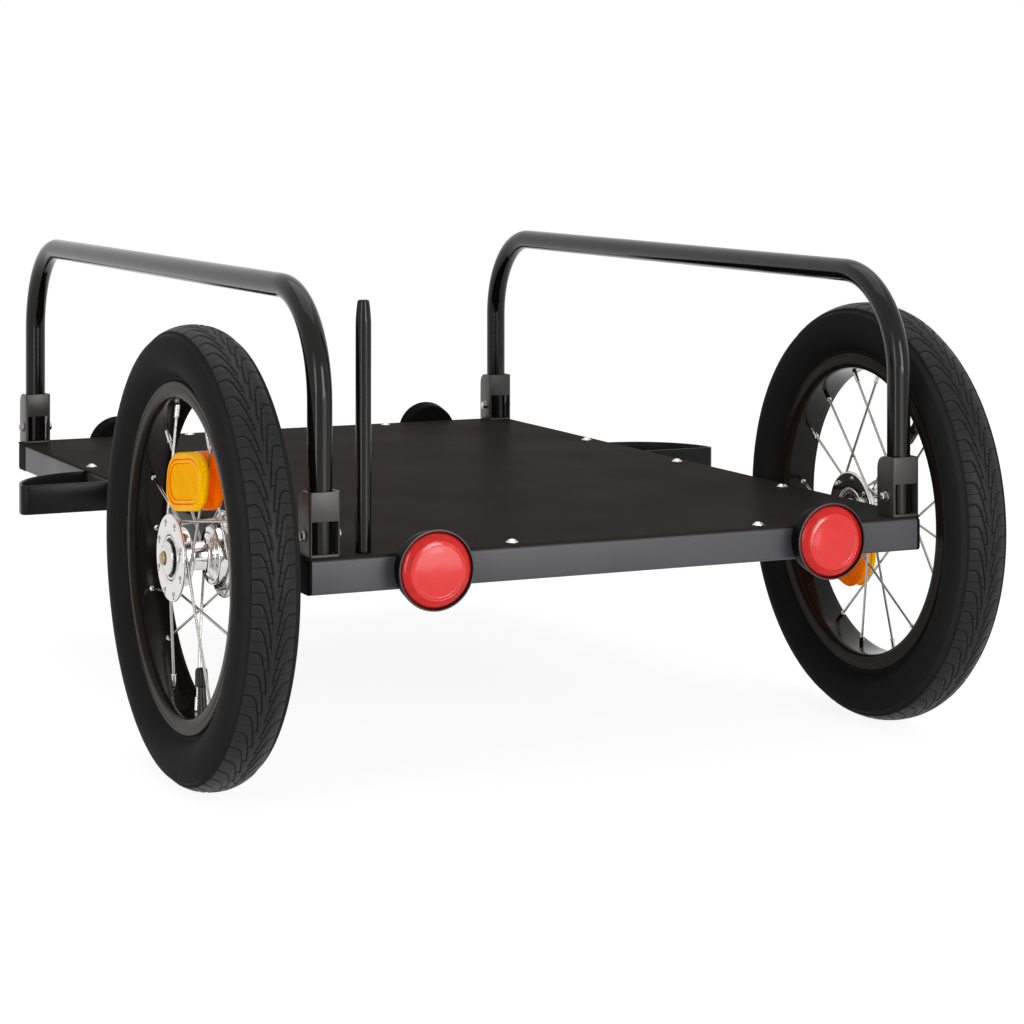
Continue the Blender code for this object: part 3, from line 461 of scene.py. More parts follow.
def turned(bm, profile, origin, direction, steps=48, caps=True, ring=False):
    """Turn (along, radius) pairs in millimetres round a line through origin."""
    turn = Vector(direction).to_track_quat("Z", "Y")
    loops = []
    for along, radius in profile:
        loop = []
        for step in range(steps):
            angle = math.tau * step / steps
            spot = Vector((radius * math.cos(angle), radius * math.sin(angle), along)) * MM
            loop.append(Vector(origin) + turn @ spot)
        loops.append(loop)
    return loft(bm, loops, True, caps, ring)


def swept(bm, points, section, up, caps=True):
    """Carry a section of (side, up) pairs in millimetres along a line of points."""
    loops = []
    count = len(points)
    for i, point in enumerate(points):
        ahead = (points[min(i + 1, count - 1)] - points[max(i - 1, 0)]).normalized()
        across = ahead.cross(up).normalized()
        over = across.cross(ahead)
        widen = 1.0
        if 0 < i < count - 1:
            bend = (point - points[i - 1]).angle(points[i + 1] - point)
            widen = 1 / math.cos(bend / 2)
        loops.append([point + across * (a * MM * widen) + over * (b * MM) for a, b in section])
    return loft(bm, loops, True, caps)


def circle(radius, steps):
    """Section of a round rod, in millimetres."""
    return [(radius * math.cos(math.tau * i / steps), radius * math.sin(math.tau * i / steps))
            for i in range(steps)]


def prism(bm, outline, near, far, place, soft=0.0):
    """Raise an outline of (a, b) pairs from near to far, with its end edges softened.

    place turns (a, b, height) in millimetres to a point in metres.
    """
    levels = [(near, soft), (near + soft, 0.0), (far - soft, 0.0), (far, soft)]
    if not soft:
        levels = [(near, 0.0), (far, 0.0)]
    middle_a = sum(a for a, b in outline) / len(outline)
    middle_b = sum(b for a, b in outline) / len(outline)
    size_a = max(a for a, b in outline) - middle_a
    size_b = max(b for a, b in outline) - middle_b
    loops = []
    for height, inset in levels:
        ka = 1 - inset / size_a
        kb = 1 - inset / size_b
        loops.append([place(middle_a + (a - middle_a) * ka, middle_b + (b - middle_b) * kb, height)
                      for a, b in outline])
    return loft(bm, loops)


def as_object(name, bm):
    """Put a mesh under construction into the scene as a plain object."""
    bmesh.ops.recalc_face_normals(bm, faces=bm.faces)
    mesh = bpy.data.meshes.new(name)
    bm.to_mesh(mesh)
    bm.free()
    made = bpy.data.objects.new(name, mesh)
    bpy.context.scene.collection.objects.link(made)
    return made


def carved(bm, cutter):
    """Cut one mesh out of another and return what is left."""
    block = as_object("carving_block", bm)
    tool = as_object("carving_tool", cutter)
    step = block.modifiers.new("carve", "BOOLEAN")
    step.operation = "DIFFERENCE"
    step.solver = "EXACT"
    step.object = tool
    bpy.context.view_layer.update()
    cut = block.evaluated_get(bpy.context.evaluated_depsgraph_get())
    left = bmesh.new()
    left.from_mesh(cut.to_mesh())
    cut.to_mesh_clear()
    for item in (block, tool):
        mesh = item.data
        bpy.data.objects.remove(item)
        bpy.data.meshes.remove(mesh)
    return left


def softened(bm, width, angle=35, segments=2):
    """Round every edge that is sharper than an angle, by a width in millimetres."""
    bmesh.ops.remove_doubles(bm, verts=bm.verts, dist=0.01 * MM)
    bmesh.ops.dissolve_degenerate(bm, dist=0.01 * MM, edges=bm.edges)
    sharp = [e for e in bm.edges if e.is_manifold and e.calc_face_angle(0) > math.radians(angle)]
    bmesh.ops.bevel(bm, geom=sharp, offset=width * MM, segments=segments, profile=0.6,
                    affect="EDGES", clamp_overlap=True)
    return bm


def mark(bm, origin, axis, chosen):
    """Give the second paint to the faces that chosen picks.

    It gets each face's place along the axis (0, 1 or 2) through origin, and its distance
    from that axis, both in millimetres.
    """
    for face in bm.faces:
        spot = (face.calc_center_median() - origin) / MM
        along = spot[axis]
        spot[axis] = 0
        face.material_index = int(chosen(along, spot.length))


def finished(name, bm, paint, body, nodes, slot, angle=38):
    """Turn a mesh into a shown piece that rides on a body and stands for CAD nodes."""
    made = as_object(name, bm)
    dress(made, paint, body, nodes, slot, angle)
    return made


def dress(made, paint, body, nodes, slot, angle=38):
    """Give a piece its materials, its shading, its body and the CAD nodes it stands for."""
    for one in paint if isinstance(paint, tuple) else (paint,):
        made.data.materials.append(PAINT[one])
    made.data.shade_smooth()
    made.data.set_sharp_from_angle(angle=math.radians(angle))
    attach(made, body)
    if nodes:
        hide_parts(*nodes)


def bead(bm, start, end, radius):
    """A weld bead: a thin roll with the ripple that a welder's steps leave."""
    length = (end - start).length
    count = max(6, round(length / (1.4 * MM)))
    direction = (end - start).normalized()
    profile = []
    for i in range(count + 1):
        swell = 1 + 0.14 * math.cos(math.tau * i / 3)
        closing = min(1.0, 0.35 + 0.65 * min(i, count - i) / 2)
        profile.append((length / MM * i / count, radius * swell * closing))
    turned(bm, profile, start, direction, 10)


def hexagon(bm, origin, direction, across, near, far, chamfer=0.5):
    """A hexagonal head or nut whose corners are turned off at both faces."""
    radius = across / math.sqrt(3)
    slope = 0.4 * chamfer
    profile = [(near, radius - chamfer), (near + slope, radius), (far - slope, radius),
               (far, radius - chamfer)]
    return turned(bm, profile, origin, direction, 6)


def wheel_point(label, across, radius, degrees):
    """A point of a wheel from its place outwards, its radius and its angle from +Y to +Z."""
    outward = -1 if label == "left" else 1
    angle = math.radians(degrees)
    spot = Vector((outward * across, radius * math.cos(angle), radius * math.sin(angle)))
    return AXLE[label] + spot * MM


# What a user would change


def length(name, description, default):
    """A size in metres that the panel shows."""
    return FloatProperty(name=name, description=description, default=default, min=0.0,
                         unit="LENGTH", precision=4)


def colour(name, description, code):
    """A colour that the panel shows, from its sRGB hex value."""
    return FloatVectorProperty(name=name, description=description, default=linear(code), size=3,
                               min=0.0, max=1.0, subtype="COLOR")


class TrailerSizes(bpy.types.PropertyGroup):
    """Sizes of the finish that a user would change."""

    deck_sag: length("Deck sag", "How far the taut cloth hangs in the middle of the deck", 0.0004)
    tread_depth: length("Tread depth", "Depth of the wide grooves of the tread", 0.0009)
    edge: length("Edge radius", "Softening of the edges of sheet metal", 0.0005)
    pitches: IntProperty(name="Tread repeats", description="How often the tread pattern repeats",
                         default=62, min=24, max=120)


class TrailerColours(bpy.types.PropertyGroup):
    """Colours of the finish that a user would change."""

    rail: colour("Rails", "Powder coat of the square frame tubes", "#454548")
    tube: colour("Hoops", "Gloss coat of the hoops and the flag pole socket", "#0d0b0a")
    guard: colour("Guards", "Coat of the wheel guards", "#141313")
    bracket: colour("Brackets", "Coat of the hoop feet", "#32302f")
    plastic: colour("Plastic", "Plugs and reflector cups", "#121111")
    deck: colour("Deck cloth", "Coated cloth of the deck", "#2d2927")
    zinc: colour("Zinc", "Plated axle and nuts", "#c9c6c0")
    dark_steel: colour("Dark steel", "Bolt heads", "#8d8984")
    chrome: colour("Chrome", "Hub, spokes and deck screws", "#d6d4d1")
    button: colour("Buttons", "Passivated steel of the release buttons", "#a3906c")
    tyre: colour("Tyre", "Rubber of the tyres", "#212121")
    seal: colour("Seals", "Bearing seals and valves", "#191919")
    rim: colour("Rim bed", "Gloss coat inside the rims", "#120f0d")
    rim_lip: colour("Rim lips", "Anodised coat of the rims' lips", "#231c18")
    red: colour("Red lens", "Rear reflectors", "#d81b15")
    clear: colour("Clear lens", "Front reflectors", "#f4f6f8")
    amber: colour("Amber lens", "Outer shell of the spoke reflectors", "#ffc000")
    amber_deep: colour("Orange lens", "Inner shell and grooves of the spoke reflectors", "#f06a00")


class TRAILER_OT_rails(bpy.types.Operator):
    """Square tubes of the frame with their plastic end plugs and weld beads"""

    bl_idname = "trailer.rails"
    bl_label = "Rails"

    def execute(self, context):
        for node in ("left_side_rail", "right_side_rail", "rear_rail", "front_rail"):
            low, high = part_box(node)
            bm = bmesh.new()
            square_tube(bm, low, high, int("side" in node), 1.8, 3.0)
            finished(node + "_tube", bm, "rail", "frame", [node], "powder_grey")
        for end, _ in ENDS:
            for label, side in SIDES:
                end_plug(f"{end}_{label}_end_plug", side)
        bm = bmesh.new()
        frame_welds(bm)
        finished("frame_welds", bm, "rail", "frame", [], "powder_grey")
        return {"FINISHED"}


def square_tube(bm, low, high, along, wall, corner):
    """A square tube that fills a box: its two walls, rounded edges and soft ends."""
    middle = (low + high) / 2
    size = (high - low) / MM
    wide, tall = [axis for axis in (0, 1, 2) if axis != along]
    outer, inner, soft = [rounded_rectangle(size[wide] - less, size[tall] - less, radius)
                          for less, radius in ((0, corner), (2 * wall, corner - 1.4), (0.8, corner - 0.3))]
    half = size[along] / 2
    loops = []
    for outline, reach in ((inner, -half), (soft, -half), (outer, 0.5 - half), (outer, half - 0.5),
                           (soft, half), (inner, half)):
        loop = []
        for a, b in outline:
            spot = Vector((0, 0, 0))
            spot[along], spot[wide], spot[tall] = reach * MM, a * MM, b * MM
            loop.append(middle + spot)
        loops.append(loop)
    loft(bm, loops, ring=True)


def end_plug(node, side):
    """Plastic plug in an open tube end: a slightly crowned cap with a drawn-in edge."""
    low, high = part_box(node)
    middle = (low + high) / 2
    face = high.x if side > 0 else low.x
    loops = []
    for height, size in ((-5.0, 25.6), (0.0, 26.0), (0.05, 29.4), (0.6, 30.0), (1.9, 30.0),
                         (2.6, 29.0), (2.9, 27.4), (3.0, 20.0), (3.0, 8.0)):
        x = face - side * (3.0 - height) * MM
        loops.append([Vector((x, middle.y + a * MM, middle.z + b * MM))
                      for a, b in rounded_rectangle(size, size, size / 10)])
    bm = bmesh.new()
    loft(bm, loops)
    finished(node + "_cap", bm, "abs", "frame", [node], "black_plastic")


def frame_welds(bm):
    """Beads where the side rails and cross members meet their neighbours."""
    for label, side in SIDES:
        low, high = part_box(label + "_side_rail")
        inner = high.x if side < 0 else low.x
        for y in (low.y + 0.2 * MM, high.y - 0.2 * MM):
            bead(bm, Vector((inner, y, low.z + 0.003)), Vector((inner, y, high.z - 0.003)), 1.9)
            bead(bm, Vector((low.x + 0.003, y, low.z)), Vector((high.x - 0.003, y, low.z)), 1.7)
        for node in ("axle_cross_tube", "centre_cross_member"):
            low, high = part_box(node)
            x = low.x if side < 0 else high.x
            for y in (low.y, high.y):
                bead(bm, Vector((x, y, low.z + 0.002)), Vector((x, y, high.z - 0.002)), 1.6)
            bead(bm, Vector((x, low.y + 0.002, low.z)), Vector((x, high.y - 0.002, low.z)), 1.6)


class TRAILER_OT_under_frame(bpy.types.Operator):
    """Cross members and drawbar receiver, which keep their CAD shape"""

    bl_idname = "trailer.under_frame"
    bl_label = "Under frame"

    def execute(self, context):
        for node in ("axle_cross_tube", "centre_cross_member", "drawbar_receiver"):
            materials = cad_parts[node].data.materials
            materials.clear()
            materials.append(PAINT["rail"])
        return {"FINISHED"}


class TRAILER_OT_deck(bpy.types.Operator):
    """Taut deck cloth with its domed screws"""

    bl_idname = "trailer.deck"
    bl_label = "Deck"

    def execute(self, context):
        cloth = deck_cloth(context.scene.trailer_sizes.deck_sag / MM)
        deck_screws()
        return {"FINISHED"}


SCREWS = [(side * 295.0, y) for side in (-1, 1) for y in (-224.0, 2.0, 224.0)]
SCREWS += [(-109.0, -446.4), (140.0, -446.4), (-105.0, 468.6), (144.0, 468.6)]
# The CAD deck's field lies this far above the band that the feet stand on, in millimetres.
FIELD_RISE = 0.4
FIELD_INSET = 33.0


def deck_height(x, y, half_x, half_y, sag):
    """Height of the cloth over the band that the feet stand on, in millimetres."""
    inset = min(half_x - abs(x), half_y - abs(y))
    rolled = -0.5 * max(0.0, 1 - inset / 2.5) ** 2
    risen = FIELD_RISE * min(1.0, max(0.0, inset - FIELD_INSET) / 40.0)
    slack = -sag * max(0.0, 1 - (x / half_x) ** 2) * max(0.0, 1 - (y / half_y) ** 2)
    sway = 0.16 * math.sin(x / 61.0 + 0.7) * math.sin(y / 83.0)
    return risen + rolled + slack + sway * min(1.0, inset / 60.0)


def deck_lines(half, count):
    """Places of the grid's lines over half a side: close together at the edge."""
    near = [half - d for d in (0, 0.6, 1.5, 3, 9, 18, FIELD_INSET)]
    plain = [i * (half - FIELD_INSET - 8) / count for i in range(count + 1)]
    positive = sorted(near + plain)
    return [-p for p in positive[:0:-1]] + positive


def deck_cloth(sag):
    """The cloth as a thin closed sheet: pulled in at each screw and bowed between them."""
    low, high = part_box("deck_cover")
    middle = (low + high) / 2
    half_x = (high.x - low.x) / 2 / MM
    half_y = (high.y - low.y) / 2 / MM
    corner = 8.0
    top, bottom = [], []
    bm = bmesh.new()
    for y in deck_lines(half_y, 40):
        upper, lower = [], []
        for x in deck_lines(half_x, 26):
            dx = max(0.0, abs(x) - half_x + corner)
            dy = max(0.0, abs(y) - half_y + corner)
            px, py = x, y
            if dx and dy:
                squeeze = max(dx, dy) / math.hypot(dx, dy)
                px = math.copysign(half_x - corner + dx * squeeze, x)
                py = math.copysign(half_y - corner + dy * squeeze, y)
            # The hem bows out between screws 222 mm apart at the sides and 249 mm at the ends.
            near_x, near_y = (max(0.0, 1 - (half - abs(out)) / 30)
                              for half, out in ((half_x, x), (half_y, y)))
            bow_x = 0.9 * abs(math.sin(math.pi * (y - 2.0) / 222.0)) * near_x
            bow_y = 0.8 * abs(math.sin(math.pi * (x + 109.0) / 249.0)) * near_y
            px += math.copysign(bow_x - 0.4, x) if x else 0.0
            py += math.copysign(bow_y - 0.4, y) if y else 0.0
            lift = deck_height(x, y, half_x, half_y, sag) - FIELD_RISE
            at = Vector((middle.x + px * MM, middle.y + py * MM, high.z + lift * MM))
            upper.append(bm.verts.new(at))
            lower.append(bm.verts.new((at.x, at.y, min(low.z, at.z - 0.7 * MM))))
        top.append(upper)
        bottom.append(lower)
    rows, columns = len(top), len(top[0])
    for r in range(rows - 1):
        for c in range(columns - 1):
            bm.faces.new((top[r][c], top[r][c + 1], top[r + 1][c + 1], top[r + 1][c]))
            bm.faces.new((bottom[r][c], bottom[r + 1][c], bottom[r + 1][c + 1], bottom[r][c + 1]))
    edge = [(0, c) for c in range(columns)] + [(r, columns - 1) for r in range(1, rows)]
    edge += [(rows - 1, c) for c in range(columns - 2, -1, -1)] + [(r, 0) for r in range(rows - 2, 0, -1)]
    for (r, c), (s, d) in zip(edge, edge[1:] + edge[:1]):
        bm.faces.new((top[r][c], bottom[r][c], bottom[s][d], top[s][d]))
    return finished("deck_cloth_sheet", bm, "cloth", "frame", ["deck_cover"], "deck_cloth", 60)


def deck_screws():
    """Domed screws with a flat brim and a hexagon socket that hold the cloth to the rails."""
    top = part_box("deck_cover")[1].z - FIELD_RISE * MM
    profile = filleted([(-0.6, 5.6), (0.35, 5.6, 0.3), (0.75, 4.4, 0.5), (1.5, 3.9, 0.8),
                        (2.5, 2.6, 1.0), (2.75, 1.75)], 3)
    bm = bmesh.new()
    for x, y in SCREWS:
        at = Vector((x * MM, y * MM, top))
        turned(bm, profile + [(2.75, 1.7)], at, (0, 0, 1), 32)
        turned(bm, [(2.2, 1.55), (2.76, 1.62)], at, (0, 0, 1), 6)
    finished("deck_screws", bm, "stainless", "frame", [], "zinc_steel", 32)


class TRAILER_OT_guards(bpy.types.Operator):
    """Flat steel strips bent to a quarter-round loop ahead of each wheel"""

    bl_idname = "trailer.guards"
    bl_label = "Wheel guards"

    def execute(self, context):
        for label, side in SIDES:
            bm = bmesh.new()
            guard_strip(bm, label, side)
            finished(label + "_wheel_guard_strip", bm, "guard", "frame",
                     [label + "_wheel_guard"], "guard_black")
        return {"FINISHED"}


def guard_strip(bm, label, side):
    """Sweep the strip's rounded section round the loop, with a bead at each end."""
    low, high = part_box(label + "_wheel_guard")
    start, rear = 306.3, low.y / MM
    # Middle line of the 3 mm strip: its quarter round and the bend into the straight rear leg.
    reach, fillet, inset = 93.0, 5.5, 7.0
    tip = math.sqrt((reach - fillet) ** 2 - inset ** 2)
    bend = math.atan2(inset, tip)
    flat = [(start - 0.3, rear + 1.5)]
    flat += [(start + tip * t, rear + 1.5) for t in (0.25, 0.5, 0.75, 0.97)]
    for step in range(13):
        angle = -math.pi / 2 + (math.pi / 2 + bend) * step / 12
        flat.append((start + tip + fillet * math.cos(angle), rear + inset + fillet * math.sin(angle)))
    for step in range(1, 41):
        angle = bend + (math.pi / 2 - bend) * step / 40
        flat.append((start + reach * math.cos(angle), rear + reach * math.sin(angle)))
    flat.append((start - 0.3, rear + reach))
    middle = (low.z + high.z) / 2
    points = [Vector((side * x * MM, y * MM, middle)) for x, y in flat]
    section = rounded_rectangle(3.0, (high.z - low.z) / MM, 1.1, 3)
    swept(bm, points, section, Vector((0, 0, 1)))
    for y in (rear + 3.2, rear + reach - 1.7):
        foot = Vector((side * (start - 0.2) * MM, y * MM, low.z + 0.001))
        bead(bm, foot, foot + Vector((0, 0, 0.028)), 1.5)


class TRAILER_OT_hoops(bpy.types.Operator):
    """Round tubes bent to an upside-down U at each side of the deck"""

    bl_idname = "trailer.hoops"
    bl_label = "Hoops"

    def execute(self, context):
        for label, _ in SIDES:
            bm = bmesh.new()
            hoop_tube(bm, *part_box(label + "_hoop"))
            finished(label + "_hoop_tube", bm, "tube", "frame", [label + "_hoop"],
                     "gloss_black_steel")
        return {"FINISHED"}


def hoop_tube(bm, low, high):
    """A 22 mm tube up, round a bend of 95 mm, along the top and down again."""
    radius, bend = 11.0, 95.0
    top = high.z / MM - radius
    legs = []
    for y, sign in ((low.y / MM + radius, 1), (high.y / MM - radius, -1)):
        leg = [(y, low.z / MM), (y, low.z / MM + 60), (y, top - bend - 40)]
        for step in range(25):
            angle = math.radians(90 * step / 24)
            leg.append((y + sign * bend * (1 - math.cos(angle)), top - bend * (1 - math.sin(angle))))
        legs.append(leg)
    line = legs[0] + [(y, top) for y in (-180.0, 0.0, 180.0)] + legs[1][::-1]
    path = [Vector(((low.x + high.x) / 2, y * MM, z * MM)) for y, z in line]
    swept(bm, path, circle(radius, 40), Vector((1, 0, 0)))


class TRAILER_OT_brackets(bpy.types.Operator):
    """Folded sheet feet of the hoops with their bolts, washers and nuts"""

    bl_idname = "trailer.brackets"
    bl_label = "Brackets"

    def execute(self, context):
        soft = context.scene.trailer_sizes.edge / MM
        for end, _ in ENDS:
            for label, side in SIDES:
                bracket(f"{end}_{label}_bracket", soft)
                bolt(f"{end}_{label}_bolt", side)
        return {"FINISHED"}


def bracket(node, soft):
    """Pressed foot: two side plates, a floor and a rear plate above an open window."""
    low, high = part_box(node)
    deep = (high.y - low.y) / MM
    tall = (high.z - low.z) / MM
    half = (high.x - low.x) / 2 / MM
    middle = (low.x + high.x) / 2
    sheet, window, corner = 2.2, 30.4, 14.3

    def place(a, b, height):
        return Vector((middle + height * MM, low.y + a * MM, low.z + b * MM))

    side_plate = filleted([(0, 0), (deep, 0), (deep, tall, corner), (0, tall)], 8, True)
    block = bmesh.new()
    prism(block, side_plate, -half, half, place)
    upright = [edge for edge in block.edges
               if all(abs(vert.co.y - low.y) < 1e-6 for vert in edge.verts)
               and abs(edge.verts[0].co.x - edge.verts[1].co.x) < 1e-6]
    bmesh.ops.bevel(block, geom=upright, offset=2.6 * MM, segments=4, profile=0.5, affect="EDGES")
    tool = bmesh.new()
    inner = [(-5, sheet), (deep + 5, sheet), (deep + 5, tall + 5), (sheet, tall + 5),
             (sheet, window), (-5, window)]
    prism(tool, inner, sheet - half, half - sheet, place)
    left = softened(carved(block, tool), soft, 40, 2)
    finished(node + "_foot", left, "bracket", "frame", [node], "gloss_black_steel", 30)


def bolt(node, side):
    """Cross bolt with a dark domed head outside, and a washer and nut inside."""
    low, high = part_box(node)
    at = (low + high) / 2
    at.x = 0
    outward = Vector((side, 0, 0))
    outer = max(abs(low.x), abs(high.x)) / MM
    inner = min(abs(low.x), abs(high.x)) / MM
    head = [(outer - 5.2, 3.0), (outer - 4.5, 3.0), (outer - 4.5, 5.6, 0.2), (outer - 3.7, 5.6, 0.2),
            (outer - 3.7, 4.9, 0.2), (outer - 1.4, 4.6, 1.2), (outer, 2.6, 0.6), (outer, 1.7)]
    shank = [(inner + 0.3, 2.2), (inner + 0.3, 2.6, 0.3), (inner + 1.2, 2.9), (inner + 6.0, 2.9)]
    washer = [(inner + 4.6, 3.0), (inner + 4.6, 5.2, 0.2), (inner + 5.3, 5.2, 0.2), (inner + 5.3, 3.0)]
    bm = bmesh.new()
    turned(bm, filleted(head, 3), at, outward, 32)
    turned(bm, filleted(shank, 2), at, outward, 24)
    hexagon(bm, at, outward, 8.4, inner + 1.1, inner + 4.6)
    turned(bm, filleted(washer, 2), at, outward, 32)
    mark(bm, Vector(), 0, lambda along, reach: abs(along) <= 296)
    finished(node + "_set", bm, ("dark_steel", "zinc"), "frame", [node], "zinc_steel", 32)


class TRAILER_OT_flag_socket(bpy.types.Operator):
    """Slim upright tube for a flag pole, with a drawn-in mouth"""

    bl_idname = "trailer.flag_socket"
    bl_label = "Flag pole socket"

    def execute(self, context):
        low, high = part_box("flag_pole_socket")
        middle = (low + high) / 2
        radius = (high.x - low.x) / 2 / MM
        tall = (high.z - low.z) / MM
        foot = filleted([(0, radius), (tall - 17, radius, 4), (tall - 6.8, 0.87 * radius, 4),
                         (tall - 1.2, 5.2, 1.5), (tall, 4.6, 0.6), (tall, 3.5, 0.3),
                         (8, 3.4), (8, 0.4)], 5)
        bm = bmesh.new()
        turned(bm, foot, (middle.x, middle.y, low.z), (0, 0, 1), 40)
        finished("flag_pole_socket_tube", bm, "tube", "frame", ["flag_pole_socket"],
                 "gloss_black_steel", 30)
        return {"FINISHED"}


class TRAILER_OT_reflectors(bpy.types.Operator):
    """Round reflectors at the rear and front: a black cup round a moulded lens"""

    bl_idname = "trailer.reflectors"
    bl_label = "Reflectors"

    def execute(self, context):
        for end, away in ENDS:
            for label, _ in SIDES:
                reflector(f"{end}_{label}_reflector", away)
        return {"FINISHED"}


def reflector(node, away):
    """A cup with its rolled edge and a lens with its smooth shoulder, on the rail's face."""
    low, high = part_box(node + "_housing")
    back = (low + high) / 2
    back.y = low.y if away > 0 else high.y
    cup, glass = bmesh.new(), bmesh.new()
    turned(cup, cup_profile(), back, (0, away, 0), 96, ring=True)
    # The rolled rim past 20.8 mm takes the lighter plastic, a painted highlight.
    mark(cup, back, 1, lambda along, reach: abs(along) > 20.8 and reach > 33.8)
    finished(node + "_cup", cup, ("abs", "abs_edge_highlight"), "frame", [node + "_housing"], "black_plastic", 28)
    turned(glass, lens_profile(), back, (0, away, 0), 96)
    mark(glass, back, 1, lambda along, reach: reach > LENS_FIELD)
    lens = "red" if away < 0 else "clear"
    finished(node + "_glass", glass, (lens, lens + "_rim"), "frame", [node + "_lens"], lens + "_lens", 34)


def cup_profile():
    """Cup: crowned back with a boss, flared wall and a rolled rim round the lens."""
    return filleted([(0, 0.4), (0, 26.0), (0.4, 30.4, 1.0), (2.2, 32.0, 1.6), (18.6, 35.1, 0.8),
                     (19.6, 35.3, 0.5), (21.5, 35.1, 0.9), (21.5, 33.4, 0.4), (17.0, 33.3, 0.2),
                     (17.0, 30.4, 0.4), (3.0, 30.2), (3.0, 0.4)], 4)


def lens_profile():
    """Lens: a crowned middle, a fine step round it and a wide shoulder set into the cup."""
    return filleted([(17.3, 0.4), (17.3, 33.1), (18.6, 33.1, 0.3), (20.6, 32.0, 1.5), (22.9, 29.6, 2.5),
                     (24.5, 26.6, 1.5), (24.9, 25.7, 0.4), (24.7, 25.2, 0.3), (25.0, 24.6, 0.4),
                     (25.5, 22.6, 0.6), (25.35, 22.2, 0.2), (26.2, 14.0, 8.0), (26.5, 6.0, 6.0),
                     (26.5, 0.4)], 6)


# Radius of the lens's prism field, inside its smooth shoulder, in millimetres.
LENS_FIELD = 25.4


class TRAILER_OT_tyres(bpy.types.Operator):
    """Tyres with a moulded tread, a shoulder ring and smooth side walls"""

    bl_idname = "trailer.tyres"
    bl_label = "Tyres"

    def execute(self, context):
        sizes = context.scene.trailer_sizes
        for label, _ in SIDES:
            made = tyre_moulding(label, sizes.pitches, sizes.tread_depth / MM)
            dress(made, ("tyre", "tread"), label + "_wheel", [label + "_tyre"], "tyre_rubber", 70)
        return {"FINISHED"}


# Half the width of the tread, in millimetres along its crown.
TREAD_HALF = 20.9
# A curve node runs from 0 to 1: its height of 1 stands for this many millimetres round.
LAG_SPAN = 40.0
# The tread of one side in millimetres, (from the middle, round): each groove runs in from
# the tread's edge, bends and follows the tread, and at its end hooks back to the next one.
LEG = [(TREAD_HALF, 0.0), (14.0, 0.0), (12.6, 0.6), (11.3, 2.1), (9.4, 5.7), (7.3, 12.8), (5.0, 22.0),
       (3.4, 30.0), (2.4, 37.0)]
HOOK = (2.4, 6.2, 37.6)
# Fine cross cuts: from, to, and how far round as a share of one repeat.
SIPES = [(7.7, TREAD_HALF, 0.53), (4.2, 9.1, 0.29)]


def line_gap(across, round_, line, pitch):
    """Distance of points to a line that repeats every pitch, in millimetres."""
    best = np.full(across.shape, 99.0)
    for turn in range(-4, 5):
        for (a0, b0), (a1, b1) in zip(line, line[1:]):
            da, db = a1 - a0, b1 - b0
            pa, pb = across - a0, round_ - b0 - turn * pitch
            t = np.clip((pa * da + pb * db) / (da * da + db * db), 0, 1)
            best = np.minimum(best, np.hypot(pa - t * da, pb - t * db))
    return best


def tyre_rows():
    """Half of the tyre's outer line from the middle of the tread to the bead."""
    line = filleted([(0, TYRE_RADIUS), (7.0, 205.7, 5), (14.0, 203.6, 5), (19.2, 201.0, 0.8),
                     (20.1, 198.2, 0.5), (25.0, 196.0, 0.8), (25.9, 194.0, 0.5),
                     (27.6, 188.5, 3.0), (28.4, 181.0, 5), (27.9, 174.5, 4), (26.2, 168.5, 4),
                     (22.6, 163.8, 3), (17.4, 159.8, 1.5), (16.4, 157.4, 1.0), (16.3, 147.0)], 4)
    dense = []
    walked = 0.0
    for (a0, r0), (a1, r1) in zip(line, line[1:]):
        span = math.hypot(a1 - a0, r1 - r0)
        steps = max(1, round(span / (0.9 if r1 > 199 else 2.2)))
        for i in range(steps):
            t = i / steps
            dense.append((a0 + (a1 - a0) * t, r0 + (r1 - r0) * t, walked + span * t))
        walked += span
    dense.append((*line[-1], walked))
    kept = [dense[0]]
    for row in dense[1:]:
        if row[2] - kept[-1][2] > (0.7 if row[1] > 201.5 else 0.22):
            kept.append(row)
    return kept


